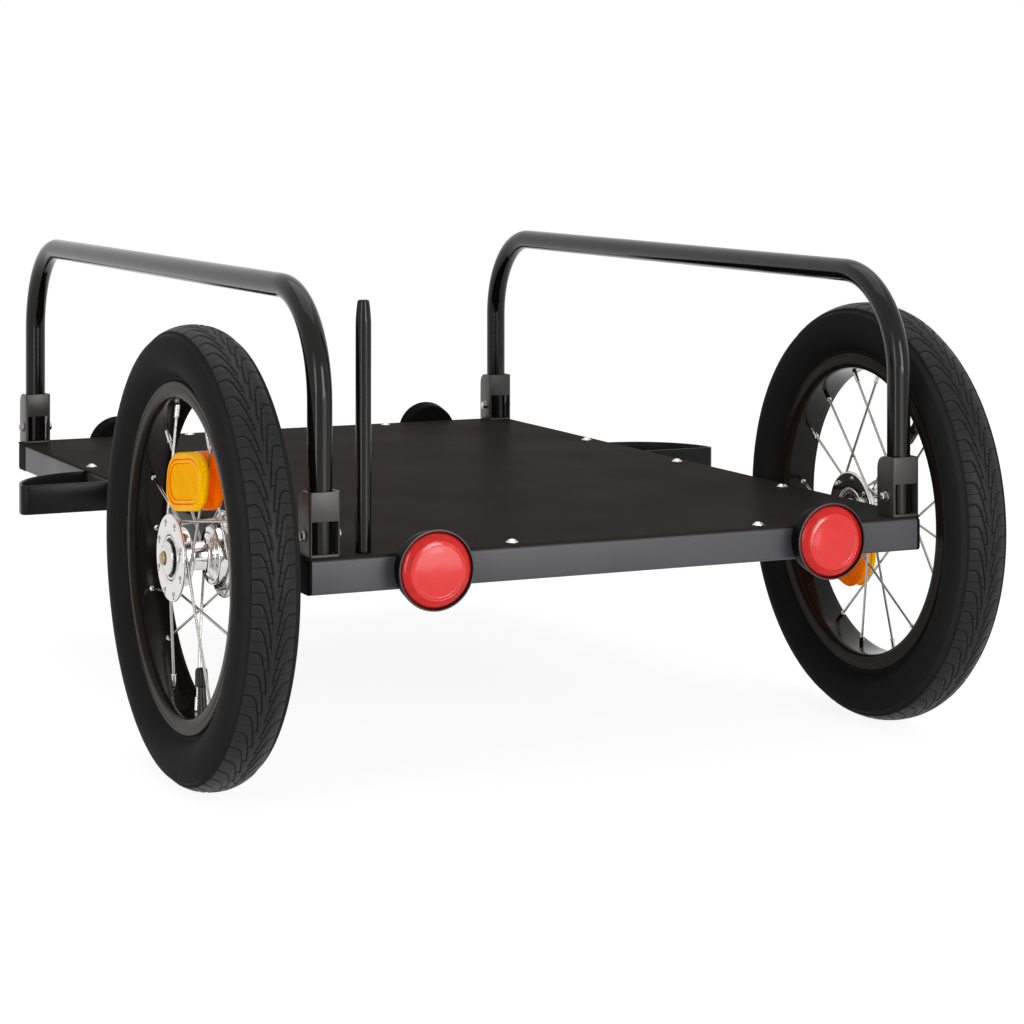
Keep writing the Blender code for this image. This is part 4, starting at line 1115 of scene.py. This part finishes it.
def tyre_moulding(label, pitches, depth):
    """The tyre as a ring mesh whose corners also carry their place on the tread."""
    half = tyre_rows()
    rows = [(-a, r, -w) for a, r, w in half[:0:-1]] + half
    # The inside, whose rows count as far from the tread.
    rows += [(12.4, 146.0, 150), (12.4, 158, 150), (0, 160, 150), (-12.4, 158, 150), (-12.4, 146, 150)]
    across, radius, walk = np.array(rows, dtype=float).T
    per_pitch = 18
    pitch = math.tau * TYRE_RADIUS / pitches
    walk_at, round_at = np.meshgrid(walk, np.arange(per_pitch) / per_pitch * pitch)
    gap = np.full(walk_at.shape, 99.0)
    for sign, shift in ((1, 0.0), (-1, -0.5 * pitch)):
        for line in [LEG, [(HOOK[0], HOOK[2]), (HOOK[1], HOOK[2])]]:
            gap = np.minimum(gap, line_gap(sign * walk_at, round_at - shift, line, pitch))
    slope_a, slope_r = np.gradient(across), np.gradient(radius)
    size = np.hypot(slope_a, slope_r)
    fade = np.clip((1.5 - gap) / 1.1, 0, 1)
    sunk = depth * fade * fade * (3 - 2 * fade)
    all_a = np.tile(across + sunk * slope_r / size, (pitches, 1))
    all_r = np.tile(radius - sunk * slope_a / size, (pitches, 1))
    count = per_pitch * pitches
    angle = np.arange(count) * math.tau / count
    points = np.stack([all_a, all_r * np.cos(angle)[:, None], all_r * np.sin(angle)[:, None]], -1)
    points = points.reshape(-1, 3) * MM + np.array(AXLE[label])
    number = len(rows)
    step, row = np.meshgrid(np.arange(count), np.arange(number), indexing="ij")
    corners, places = [], []
    for ahead, beside in ((0, 0), (1, 0), (1, 1), (0, 1)):
        next_row = (row + beside) % number
        corners.append((step + ahead) % count * number + next_row)
        places.append(np.stack([walk[next_row], (step + ahead) * pitch / per_pitch, 0 * row], -1))
    faces = np.stack(corners, -1).reshape(-1, 4)
    mesh = bpy.data.meshes.new(label + "_tyre_moulding")
    mesh.from_pydata(points.tolist(), [], faces.tolist())
    on_tread = abs(walk) + abs(np.roll(walk, -1)) < 2 * TREAD_HALF
    mesh.polygons.foreach_set("material_index", np.tile(on_tread, count).astype(np.int32))
    held = mesh.attributes.new("tread_place", "FLOAT_VECTOR", "CORNER")
    held.data.foreach_set("vector", np.stack(places, 2).reshape(-1).astype(np.float32))
    made = bpy.data.objects.new(mesh.name, mesh)
    bpy.context.scene.collection.objects.link(made)
    return made


class TRAILER_OT_rims(bpy.types.Operator):
    """Deep rims with a crowned spoke bed and rolled lips"""

    bl_idname = "trailer.rims"
    bl_label = "Rims"

    def execute(self, context):
        for label, side in SIDES:
            bm = bmesh.new()
            turned(bm, rim_profile(), AXLE[label], (side, 0, 0), 216, ring=True)
            mark(bm, AXLE[label], 0, lambda along, reach: abs(along) > 14.5)
            finished(label + "_rim_hoop", bm, ("rim", "rim_lip"), label + "_wheel", [label + "_rim"],
                     "rim_black", 30)
        return {"FINISHED"}


def rim_profile():
    """Rim: the tyre's well between two rolled lips, and the spoke bed towards the axle."""
    lip = [(18.7, 151.5, 1.0), (18.9, 155.0, 0.6), (18.0, 156.4, 0.8), (16.9, 156.4, 0.5),
           (16.5, 152.0, 0.5), (16.6, 145.0, 2.0), (12.0, 143.2, 3)]
    bed = [(9.0, 140.2, 2.0), (13.5, 140.4, 3.0), (18.2, 141.6, 2.2)]
    line = [(19.0, 145.0), (19.0, 150.5, 1.0)] + lip + [(0.0, 142.6, 4)]
    line += [(-a, r, f) for a, r, f in lip[::-1]] + [(-19.0, 150.5, 1.0), (-19.0, 145.0, 1.0)]
    line += [(-a, r, f) for a, r, f in bed[::-1]] + [(0.0, 139.9, 5.0)] + bed
    return filleted(line, 4, True)


class TRAILER_OT_hubs(bpy.types.Operator):
    """Polished hub shells with drilled flanges, and their sealed bearings"""

    bl_idname = "trailer.hubs"
    bl_label = "Hubs"

    def execute(self, context):
        for label, side in SIDES:
            bm, drills = bmesh.new(), bmesh.new()
            turned(bm, hub_profile(), AXLE[label], (side, 0, 0), 96, ring=True)
            for flange in (1, -1):
                for hole in range(8):
                    at = wheel_point(label, flange * 24.1, HOLE_CIRCLE,
                                     first_hole(label, flange) + 45 * hole)
                    # Painted shade: each hole stands 3.6 mm straight below its spoke hole in the rest
                    # pose, where a dark spot of shade falls under each spoke head.
                    at.z -= 3.6 * MM
                    turned(drills, [(-3.0, 1.3), (3.0, 1.3)], at, (1, 0, 0), 12)
            shell = carved(bm, drills)
            # The holes' walls take the dark seal rubber, painted shade inside them.
            mark(shell, AXLE[label], 0,
                 lambda along, reach: 22.7 < abs(along) < 25.4 and 28.0 < reach < 38.0)
            finished(label + "_hub_shell", shell, ("chrome", "seal"), label + "_wheel",
                     [label + "_hub"], "chrome", 24)
            for which, out in (("outer", 1), ("inner", -1)):
                bearing(label, side, which, out)
        return {"FINISHED"}


def hub_profile():
    """Hub shell: two flanges, a bell behind each for its bearing and a slim waist."""
    half = [(25.2, 20.5, 0.3), (25.7, 20.9, 0.3), (25.7, 22.2, 0.2), (25.2, 22.5, 0.2),
            (25.2, 22.8, 0.2), (25.7, 23.1, 0.2), (25.7, 38.0, 0.6), (24.9, 39.0, 0.6),
            (23.3, 39.0, 0.6), (22.5, 38.2, 0.5), (22.4, 29.0, 1.4), (21.2, 26.5, 1.2),
            (12.6, 26.5, 1.0), (11.2, 25.6, 1.2), (10.6, 20.6, 0.6), (9.4, 20.0, 0.6),
            (8.6, 14.5, 1.5), (6.4, 12.8, 1.5)]
    outer = half + [(-a, r, f) for a, r, f in half[::-1]]
    bore = [(-12.8, 20.4, 0.2), (-12.8, 10.2, 0.4), (12.8, 10.2, 0.4), (12.8, 20.4, 0.2)]
    return filleted(outer + bore, 4, True)


def bearing(label, side, which, out):
    """Sealed ball bearing: two ground rings with a sunk rubber seal between them."""
    node = f"{label}_{which}_bearing"
    face, back = 25.3, 13.5
    rings = filleted([(face, 19.9, 0.4), (face, 17.6, 0.2), (face - 0.6, 17.4, 0.2),
                      (face - 0.6, 12.6, 0.2), (face, 12.3, 0.3), (face, 8.5, 0.4),
                      (back, 8.5, 0.3), (back, 19.9, 0.3)], 3, True)
    bm = bmesh.new()
    turned(bm, [(a * out, r) for a, r in rings], AXLE[label], (side, 0, 0), 64, ring=True)
    # Past 19.5 mm the steel ring's outer edge also takes the dark seal rubber: painted shade of the gap
    # between ring and hub shell.
    mark(bm, AXLE[label], 0, lambda along, reach: 12.4 < reach < 17.5 or reach > 19.5)
    finished(node + "_ring", bm, ("stainless", "seal"), label + "_wheel", [node], "bearing_steel", 30)


# How far each wheel stands turned, in degrees, so that its valve lies in a wide gap.
SPOKES_TURN = {"left": 2.3, "right": 52.0}


def first_hole(label, flange):
    """Angle of the first spoke hole of a flange, in degrees."""
    return (67.5 if flange > 0 else 45.0) + SPOKES_TURN[label]


class TRAILER_OT_spokes(bpy.types.Operator):
    """Spokes with their heads, elbows and nipples, bent slightly where they cross"""

    bl_idname = "trailer.spokes"
    bl_label = "Spokes"

    def execute(self, context):
        for label, _ in SIDES:
            for which, flange in (("outer", 1), ("inner", -1)):
                bm = bmesh.new()
                for i in range(8):
                    hole = first_hole(label, flange) + 45.0 * i
                    spoke(bm, label, flange, hole, 90.0 - 180.0 * (i % 2))
                mark(bm, AXLE[label], 0, lambda along, reach: reach > NIPPLES_FROM)
                finished(f"{label}_{which}_spoke_set", bm, ("spoke", "chrome"), label + "_wheel",
                         [f"{label}_{which}_spokes"], "chrome", 40)
        return {"FINISHED"}


# Where the outer and the inner spokes end, outwards of the rim's middle, in millimetres.
NIPPLE_ACROSS = {1: 2.5, -1: -1.5}
# Place of a spoke's elbow: outwards of the wheel's middle, and from the axle.
ELBOW = (19.6, 32.2)
# The chromed nipples begin at this radius.
NIPPLES_FROM = 126.9


def spoke(bm, label, flange, hole, lean):
    """One spoke from its head outside the flange to its nipple at the rim.

    Those that lean forward pass outside the ones that lean back, at both crossings.
    """
    over = 1 if lean > 0 else -1
    head = wheel_point(label, flange * 26.6, HOLE_CIRCLE, hole)
    elbow = wheel_point(label, flange * (ELBOW[0] + 0.9 * over), ELBOW[1], hole)
    start = wheel_point(label, flange * ELBOW[0], ELBOW[1], hole)
    end = wheel_point(label, NIPPLE_ACROSS[flange], RIM_BED, hole + lean)
    outward = -1 if label == "left" else 1
    apart = Vector((outward * flange * 1.4 * over * MM, 0, 0))
    knots = []
    for turn in (22.5, 67.5):
        slope = math.tan(math.radians(turn)) * ELBOW[1] / RIM_BED
        knots.append(start.lerp(end, slope / (1 + slope)) + apart)
    near, far = knots
    early = head.lerp(elbow, 0.62)
    late = elbow + (near - elbow).normalized() * 2.6 * MM
    path = [head, early]
    for t in (0.25, 0.5, 0.75):
        path.append(early * (1 - t) ** 2 + elbow * (2 * t * (1 - t)) + late * t ** 2)
    way = (end - far).normalized()
    path += [late, near, near.lerp(far, 0.4), far + (near - far).normalized() * 4 * MM,
             far, far + way * 4 * MM, end]
    rod(bm, path, 1.3, 10)
    turned(bm, [(-1.6, 1.2), (-0.7, 2.0), (-0.2, 1.9), (0.2, 1.1)], head, (head - elbow), 14)
    nipple = filleted([(-12.9, 1.4), (-12.7, 2.4, 0.2), (-11.9, 2.5, 0.2), (-11.6, 2.1, 0.2),
                       (-1.2, 2.3, 0.8), (0.4, 1.6)], 3)
    turned(bm, nipple, end, way, 20)


def rod(bm, path, radius, sides):
    """A round rod along a line of points that may bend any way."""
    ahead = (path[1] - path[0]).normalized()
    across = ahead.orthogonal().normalized()
    loops = []
    for i, point in enumerate(path):
        way = (path[min(i + 1, len(path) - 1)] - path[max(i - 1, 0)]).normalized()
        across = (ahead.rotation_difference(way) @ across).normalized()
        ahead = way
        loop = []
        for step in range(sides):
            loop.append(point + Quaternion(way, math.tau * step / sides) @ across * (radius * MM))
        loops.append(loop)
    loft(bm, loops)


class TRAILER_OT_spoke_reflectors(bpy.types.Operator):
    """Two-shell amber reflectors clipped over the outer spokes"""

    bl_idname = "trailer.spoke_reflectors"
    bl_label = "Spoke reflectors"

    def execute(self, context):
        for label, angle, tilt, shift, rise in (("left", 118.0, 83.0, (6.0, 1.2), 3.0),
                                                ("right", -35.0, -70.0, (-1.0, 5.0), 0.0)):
            for which, out in (("outer", 1), ("inner", -1)):
                bm = bmesh.new()
                amber_shell(bm, label, out, angle, tilt, shift, rise)
                paint = ("amber", "orange", "amber_panel") if out > 0 else "orange"
                node = f"{label}_spoke_reflector_{which}_shell"
                finished(node + "_lens", bm, paint, label + "_wheel", [node], "amber_lens", 26)
        return {"FINISHED"}


# Corner radii of the shell, along and up, from its forward upper corner round.
AMBER_CORNERS = ((18.0, 17.0), (34.0, 24.0), (17.0, 17.0), (26.0, 22.0))


# Levels of a shell from the spokes outwards, in millimetres: its height, its inset, and the
# outer shell's paint from there on, 0 amber, 1 orange or 2 panel. They make a rounded side,
# two ridges between orange grooves, and the sunk panel.
AMBER_LEVELS = (
    (0.0, 6.0, 0), (0.0, 1.8, 1), (0.5, 0.8, 0), (1.6, 0.2, 0), (3.0, 0.0, 0), (4.6, 0.7, 0),
    (5.8, 2.0, 0), (6.6, 3.6, 0), (6.8, 4.7, 0), (6.6, 5.6, 1), (5.8, 6.2, 1), (5.9, 7.0, 0),
    (6.5, 7.7, 0), (6.7, 8.6, 0), (6.5, 9.4, 1), (5.4, 10.2, 2), (4.9, 10.8, 2), (5.0, 14.0, 2),
)
# From the axle to the middle of a shell, before its shift.
AMBER_RADIUS = 80.0


def amber_outline(shrink, shift):
    """Lopsided round rectangle of the shell, drawn in by a distance, about its shift."""
    points = []
    for quarter, (sx, sy) in enumerate(((1, 1), (-1, 1), (-1, -1), (1, -1))):
        wide, high = (part - 0.6 * shrink for part in AMBER_CORNERS[quarter])
        cx = shift[0] + sx * (42.5 - shrink - wide)
        cy = shift[1] + sy * (25.8 - shrink - high)
        for step in range(9):
            angle = math.radians(90 * (quarter + step / 8))
            points.append((cx + wide * math.cos(angle), cy + high * math.sin(angle)))
    return points


def spoke_across(radius):
    """How far outwards of the wheel's middle an outer spoke passes at a radius."""
    start = Vector((20.7, HOLE_CIRCLE, 0))
    run = Vector((3.0, 0, 139.0)) - start
    toward = start.y * run.y
    square = run.y ** 2 + run.z ** 2
    share = (math.sqrt(toward ** 2 + square * (radius ** 2 - start.y ** 2)) - toward) / square
    return start.x + share * run.x


def amber_shell(bm, label, out, angle, tilt, shift, rise):
    """One shell: a domed frame round a sunk panel, moved by its shift and risen off the spokes."""
    turn, lean = math.radians(angle), math.radians(tilt)
    radial = Vector((0, math.cos(turn), math.sin(turn)))
    up = Vector((0, math.cos(lean), math.sin(lean)))
    along = Vector((0, math.sin(lean), -math.cos(lean)))
    centre = radial * AMBER_RADIUS
    slope = (spoke_across(55.0) - spoke_across(105.0)) / 50.0
    plane = (spoke_across(AMBER_RADIUS) + spoke_across(math.hypot(AMBER_RADIUS, 49.0))) / 2
    outward = -1 if label == "left" else 1
    loops = []
    for lift, shrink, paint in AMBER_LEVELS:
        loop = []
        for u, v in amber_outline(shrink, shift):
            point = centre + along * u + up * v
            across = plane - slope * (point - centre).dot(radial) + out * (3.4 + lift)
            across += rise if out > 0 else 0.0
            loop.append(AXLE[label] + Vector((outward * across, point.y, point.z)) * MM)
        loops.append(loop)
    around = len(loft(bm, loops)[0])
    if out > 0:
        bm.faces.ensure_lookup_table()
        for number, (lift, shrink, paint) in enumerate(AMBER_LEVELS[:-1]):
            for face in bm.faces[number * around:(number + 1) * around]:
                face.material_index = paint
        cap = bm.faces[-1]
        cap.material_index = AMBER_LEVELS[-1][2]
        bmesh.ops.poke(bm, faces=[cap])


class TRAILER_OT_valves(bpy.types.Operator):
    """Rubber valve stems with ribbed caps, pointing from the rim to the axle"""

    bl_idname = "trailer.valves"
    bl_label = "Valves"

    def execute(self, context):
        stem = [(-1, 6.5), (1.4, 6.4, 1.0), (2.4, 5.0, 1.5), (12.0, 4.1, 2.0), (27.0, 3.6), (27.4, 3.5)]
        cap = [(26.4, 3.4), (26.5, 5.6, 0.3), (27.4, 6.1, 0.4), (40.6, 5.5, 0.8), (42.6, 4.8, 1.2),
               (43.5, 2.6, 0.8), (43.5, 0.4)]
        for label, angle in (("left", -96.5), ("right", 131.0)):
            root = wheel_point(label, 0, 141.5, angle)
            inward = (AXLE[label] - root).normalized()
            bm = bmesh.new()
            turned(bm, filleted(stem, 3), root, inward, 32)
            rib_cap(turned(bm, filleted(cap, 4), root, inward, 48), root, inward)
            finished(label + "_valve_stem", bm, "valve", label + "_wheel", [label + "_valve"],
                     "valve_rubber", 24)
        return {"FINISHED"}


def rib_cap(rows, root, inward):
    """Sink every other line of the cap's wall to make its ribs."""
    for row in rows:
        for i, vert in enumerate(row):
            along = (vert.co - root).dot(inward)
            centre = root + inward * along
            if i % 4 < 2 and 27.6 * MM < along < 41.0 * MM and (vert.co - centre).length > 5 * MM:
                vert.co = centre + (vert.co - centre) * 0.93


class TRAILER_OT_axles(bpy.types.Operator):
    """Stub axles with their domed heads, release buttons and rail bushes"""

    bl_idname = "trailer.axles"
    bl_label = "Axles"

    def execute(self, context):
        button = filleted([(0.5, 3.0), (28.0, 3.0), (29.3, 3.2), (29.3, 5.6, 0.3), (32.6, 5.85, 0.8),
                           (34.0, 4.4, 1.2), (34.5, 1.6, 1.2), (34.4, 0.4)], 5)
        bush = filleted([(-76.4, 8.5), (-76.4, 13.2, 0.4), (-75.7, 13.2, 0.3), (-75.7, 12.4),
                         (-45.6, 12.4), (-45.5, 14.4, 0.4), (-41.6, 14.4, 0.9), (-41.5, 8.6, 0.4)],
                        3, True)
        for label, side in SIDES:
            for node, suffix, profile, steps, paint, body, slot in (
                    ("stub_axle", "pin", axle_profile(), 64, ("zinc", "chrome"), "frame", "zinc_steel"),
                    ("release_button", "cap", button, 48, "button", label + "_button", "chrome"),
                    ("axle_bush", "ring", bush, 48, "zinc", "frame", "zinc_steel")):
                bm = bmesh.new()
                turned(bm, profile, AXLE[label], (side, 0, 0), steps, ring=node == "axle_bush")
                if node == "stub_axle":
                    mark(bm, AXLE[label], 0, lambda along, reach: along * side > HEAD_FROM)
                node = f"{label}_{node}"
                finished(f"{node}_{suffix}", bm, paint, body, [node], slot, 28)
        return {"FINISHED"}


# Where the stub axle's head starts, outwards of the wheel's middle.
HEAD_FROM = 26.6


def axle_profile():
    """Stub axle: its shaft and shoulder, then a domed head with a well for the button."""
    return filleted([(-74.6, 0.4), (-74.6, 8.1, 0.8), (-41.2, 8.1), (-41.2, 12.1, 0.5),
                     (-27.0, 12.1, 0.5), (-26.8, 8.1), (26.7, 8.1), (26.7, 14.9, 0.3),
                     (28.3, 15.1, 0.5), (29.3, 13.9, 0.8), (29.5, 13.2, 0.3), (29.3, 12.8, 0.2),
                     (30.4, 10.2, 2.0), (31.0, 7.2, 0.6), (30.8, 6.4, 0.4), (26.0, 6.3), (26.0, 0.4)], 5)


class TRAILER_OT_stage(bpy.types.Operator):
    """Pale floor, soft studio lamps, white surroundings and the camera"""

    bl_idname = "trailer.stage"
    bl_label = "Stage"

    def execute(self, context):
        floor()
        surroundings(context.scene)
        lamps()
        camera(context.scene)
        return {"FINISHED"}


def floor():
    """A wide plain floor just under the tyres."""
    bm = bmesh.new()
    bmesh.ops.create_grid(bm, x_segments=1, y_segments=1, size=60.0)
    made = as_object("studio_floor", bm)
    made.location.z = -0.0006
    made.data.materials.append(studio_floor())
    made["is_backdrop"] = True


def surroundings(scene):
    """White all round for the lens, metal and glass; a plain soft grey as light."""
    world = bpy.data.worlds.new("studio_surroundings")
    world.use_nodes = True
    tree = world.node_tree
    tree.nodes.clear()
    light = add(tree, "Background", {"Color": (1, 1, 1, 1), "Strength": 0.45})
    white = add(tree, "Background", {"Color": (1, 1, 1, 1), "Strength": 1.0})
    mix = add(tree, "MixShader", {0: looked_at(tree), 1: light.outputs[0], 2: white.outputs[0]})
    add(tree, "OutputWorld", {"Surface": mix.outputs[0]})
    scene.world = world


def lamps():
    """Soft boxes left and right of the lens, a wide top lamp and two slim low strips."""
    for name, place, aim, wide, tall, power in (
            ("left", (-3.0, -2.7, 1.5), (0, 0, 0.2), 1.2, 2.0, 12.0),
            ("right", (0.65, -3.3, 1.15), (0, 0, 1.15), 1.0, 1.6, 38.0),
            ("top", (0.2, 0.4, 3.4), (0, 0, 0.2), 3.0, 3.0, 32.0),
            ("left_strip", (-1.38, -1.29, 0.5), (-0.35, -0.5, 0.5), 0.25, 0.9, 3.8),
            ("right_strip", (0.2, -1.5, 0.26), (-0.29, -0.44, 0.3), 0.7, 0.42, 1.9)):
        data = bpy.data.lights.new(name + "_lamp", "AREA")
        data.shape = "RECTANGLE"
        data.size = wide
        data.size_y = tall
        data.energy = power
        made = bpy.data.objects.new(name + "_lamp", data)
        made.location = place
        made.rotation_euler = (Vector(aim) - Vector(place)).to_track_quat("-Z", "Y").to_euler()
        bpy.context.scene.collection.objects.link(made)


def camera(scene):
    """A level long lens behind the trailer's left corner, its frame shifted down."""
    data = bpy.data.cameras.new("photo_camera")
    data.sensor_width = 36.0
    data.lens = 98.90
    data.shift_y = -0.3892
    made = bpy.data.objects.new("photo_camera", data)
    made.location = (-1.1470, -2.6970, 0.6003)
    made.rotation_euler = (math.radians(90), 0, math.radians(-24.759))
    scene.collection.objects.link(made)
    scene.camera = made
    scene.view_settings.view_transform = "Standard"


class TRAILER_PT_panel(bpy.types.Panel):
    """Sizes, colours and the operators of the trailer's finish"""

    bl_label = "Bicycle Trailer"
    bl_idname = "TRAILER_PT_panel"
    bl_space_type = "VIEW_3D"
    bl_region_type = "UI"
    bl_category = "Trailer"

    def draw(self, context):
        column = self.layout.column()
        for group in (context.scene.trailer_sizes, context.scene.trailer_colours):
            for name in group.__annotations__:
                column.prop(group, name)
        for operator in OPERATORS:
            column.operator(operator.bl_idname)


OPERATORS = (
    TRAILER_OT_rails, TRAILER_OT_under_frame, TRAILER_OT_deck, TRAILER_OT_guards,
    TRAILER_OT_hoops, TRAILER_OT_brackets, TRAILER_OT_flag_socket, TRAILER_OT_reflectors,
    TRAILER_OT_tyres, TRAILER_OT_rims, TRAILER_OT_hubs, TRAILER_OT_spokes,
    TRAILER_OT_spoke_reflectors, TRAILER_OT_valves, TRAILER_OT_axles, TRAILER_OT_stage,
)
CLASSES = (TrailerSizes, TrailerColours, *OPERATORS, TRAILER_PT_panel)


def register():
    """Add the classes and the two property groups to Blender."""
    for item in CLASSES:
        bpy.utils.register_class(item)
    bpy.types.Scene.trailer_sizes = PointerProperty(type=TrailerSizes)
    bpy.types.Scene.trailer_colours = PointerProperty(type=TrailerColours)


def unregister():
    """Take the classes and the property groups out again."""
    del bpy.types.Scene.trailer_colours
    del bpy.types.Scene.trailer_sizes
    for item in reversed(CLASSES):
        bpy.utils.unregister_class(item)


def plain(box):
    """A box as plain lists of numbers."""
    return [[float(part) for part in corner] for corner in box]


def main():
    """Build everything in order; the outlines of the CAD and of the new pieces are gathered but not kept.
    """
    register()
    paints()
    for item in OPERATORS:
        group, name = item.bl_idname.split(".")
        getattr(getattr(bpy.ops, group), name)()
    {"cad": plain(CAD_BOX), "visual": plain(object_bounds())}


if __name__ == "__main__":
    main()
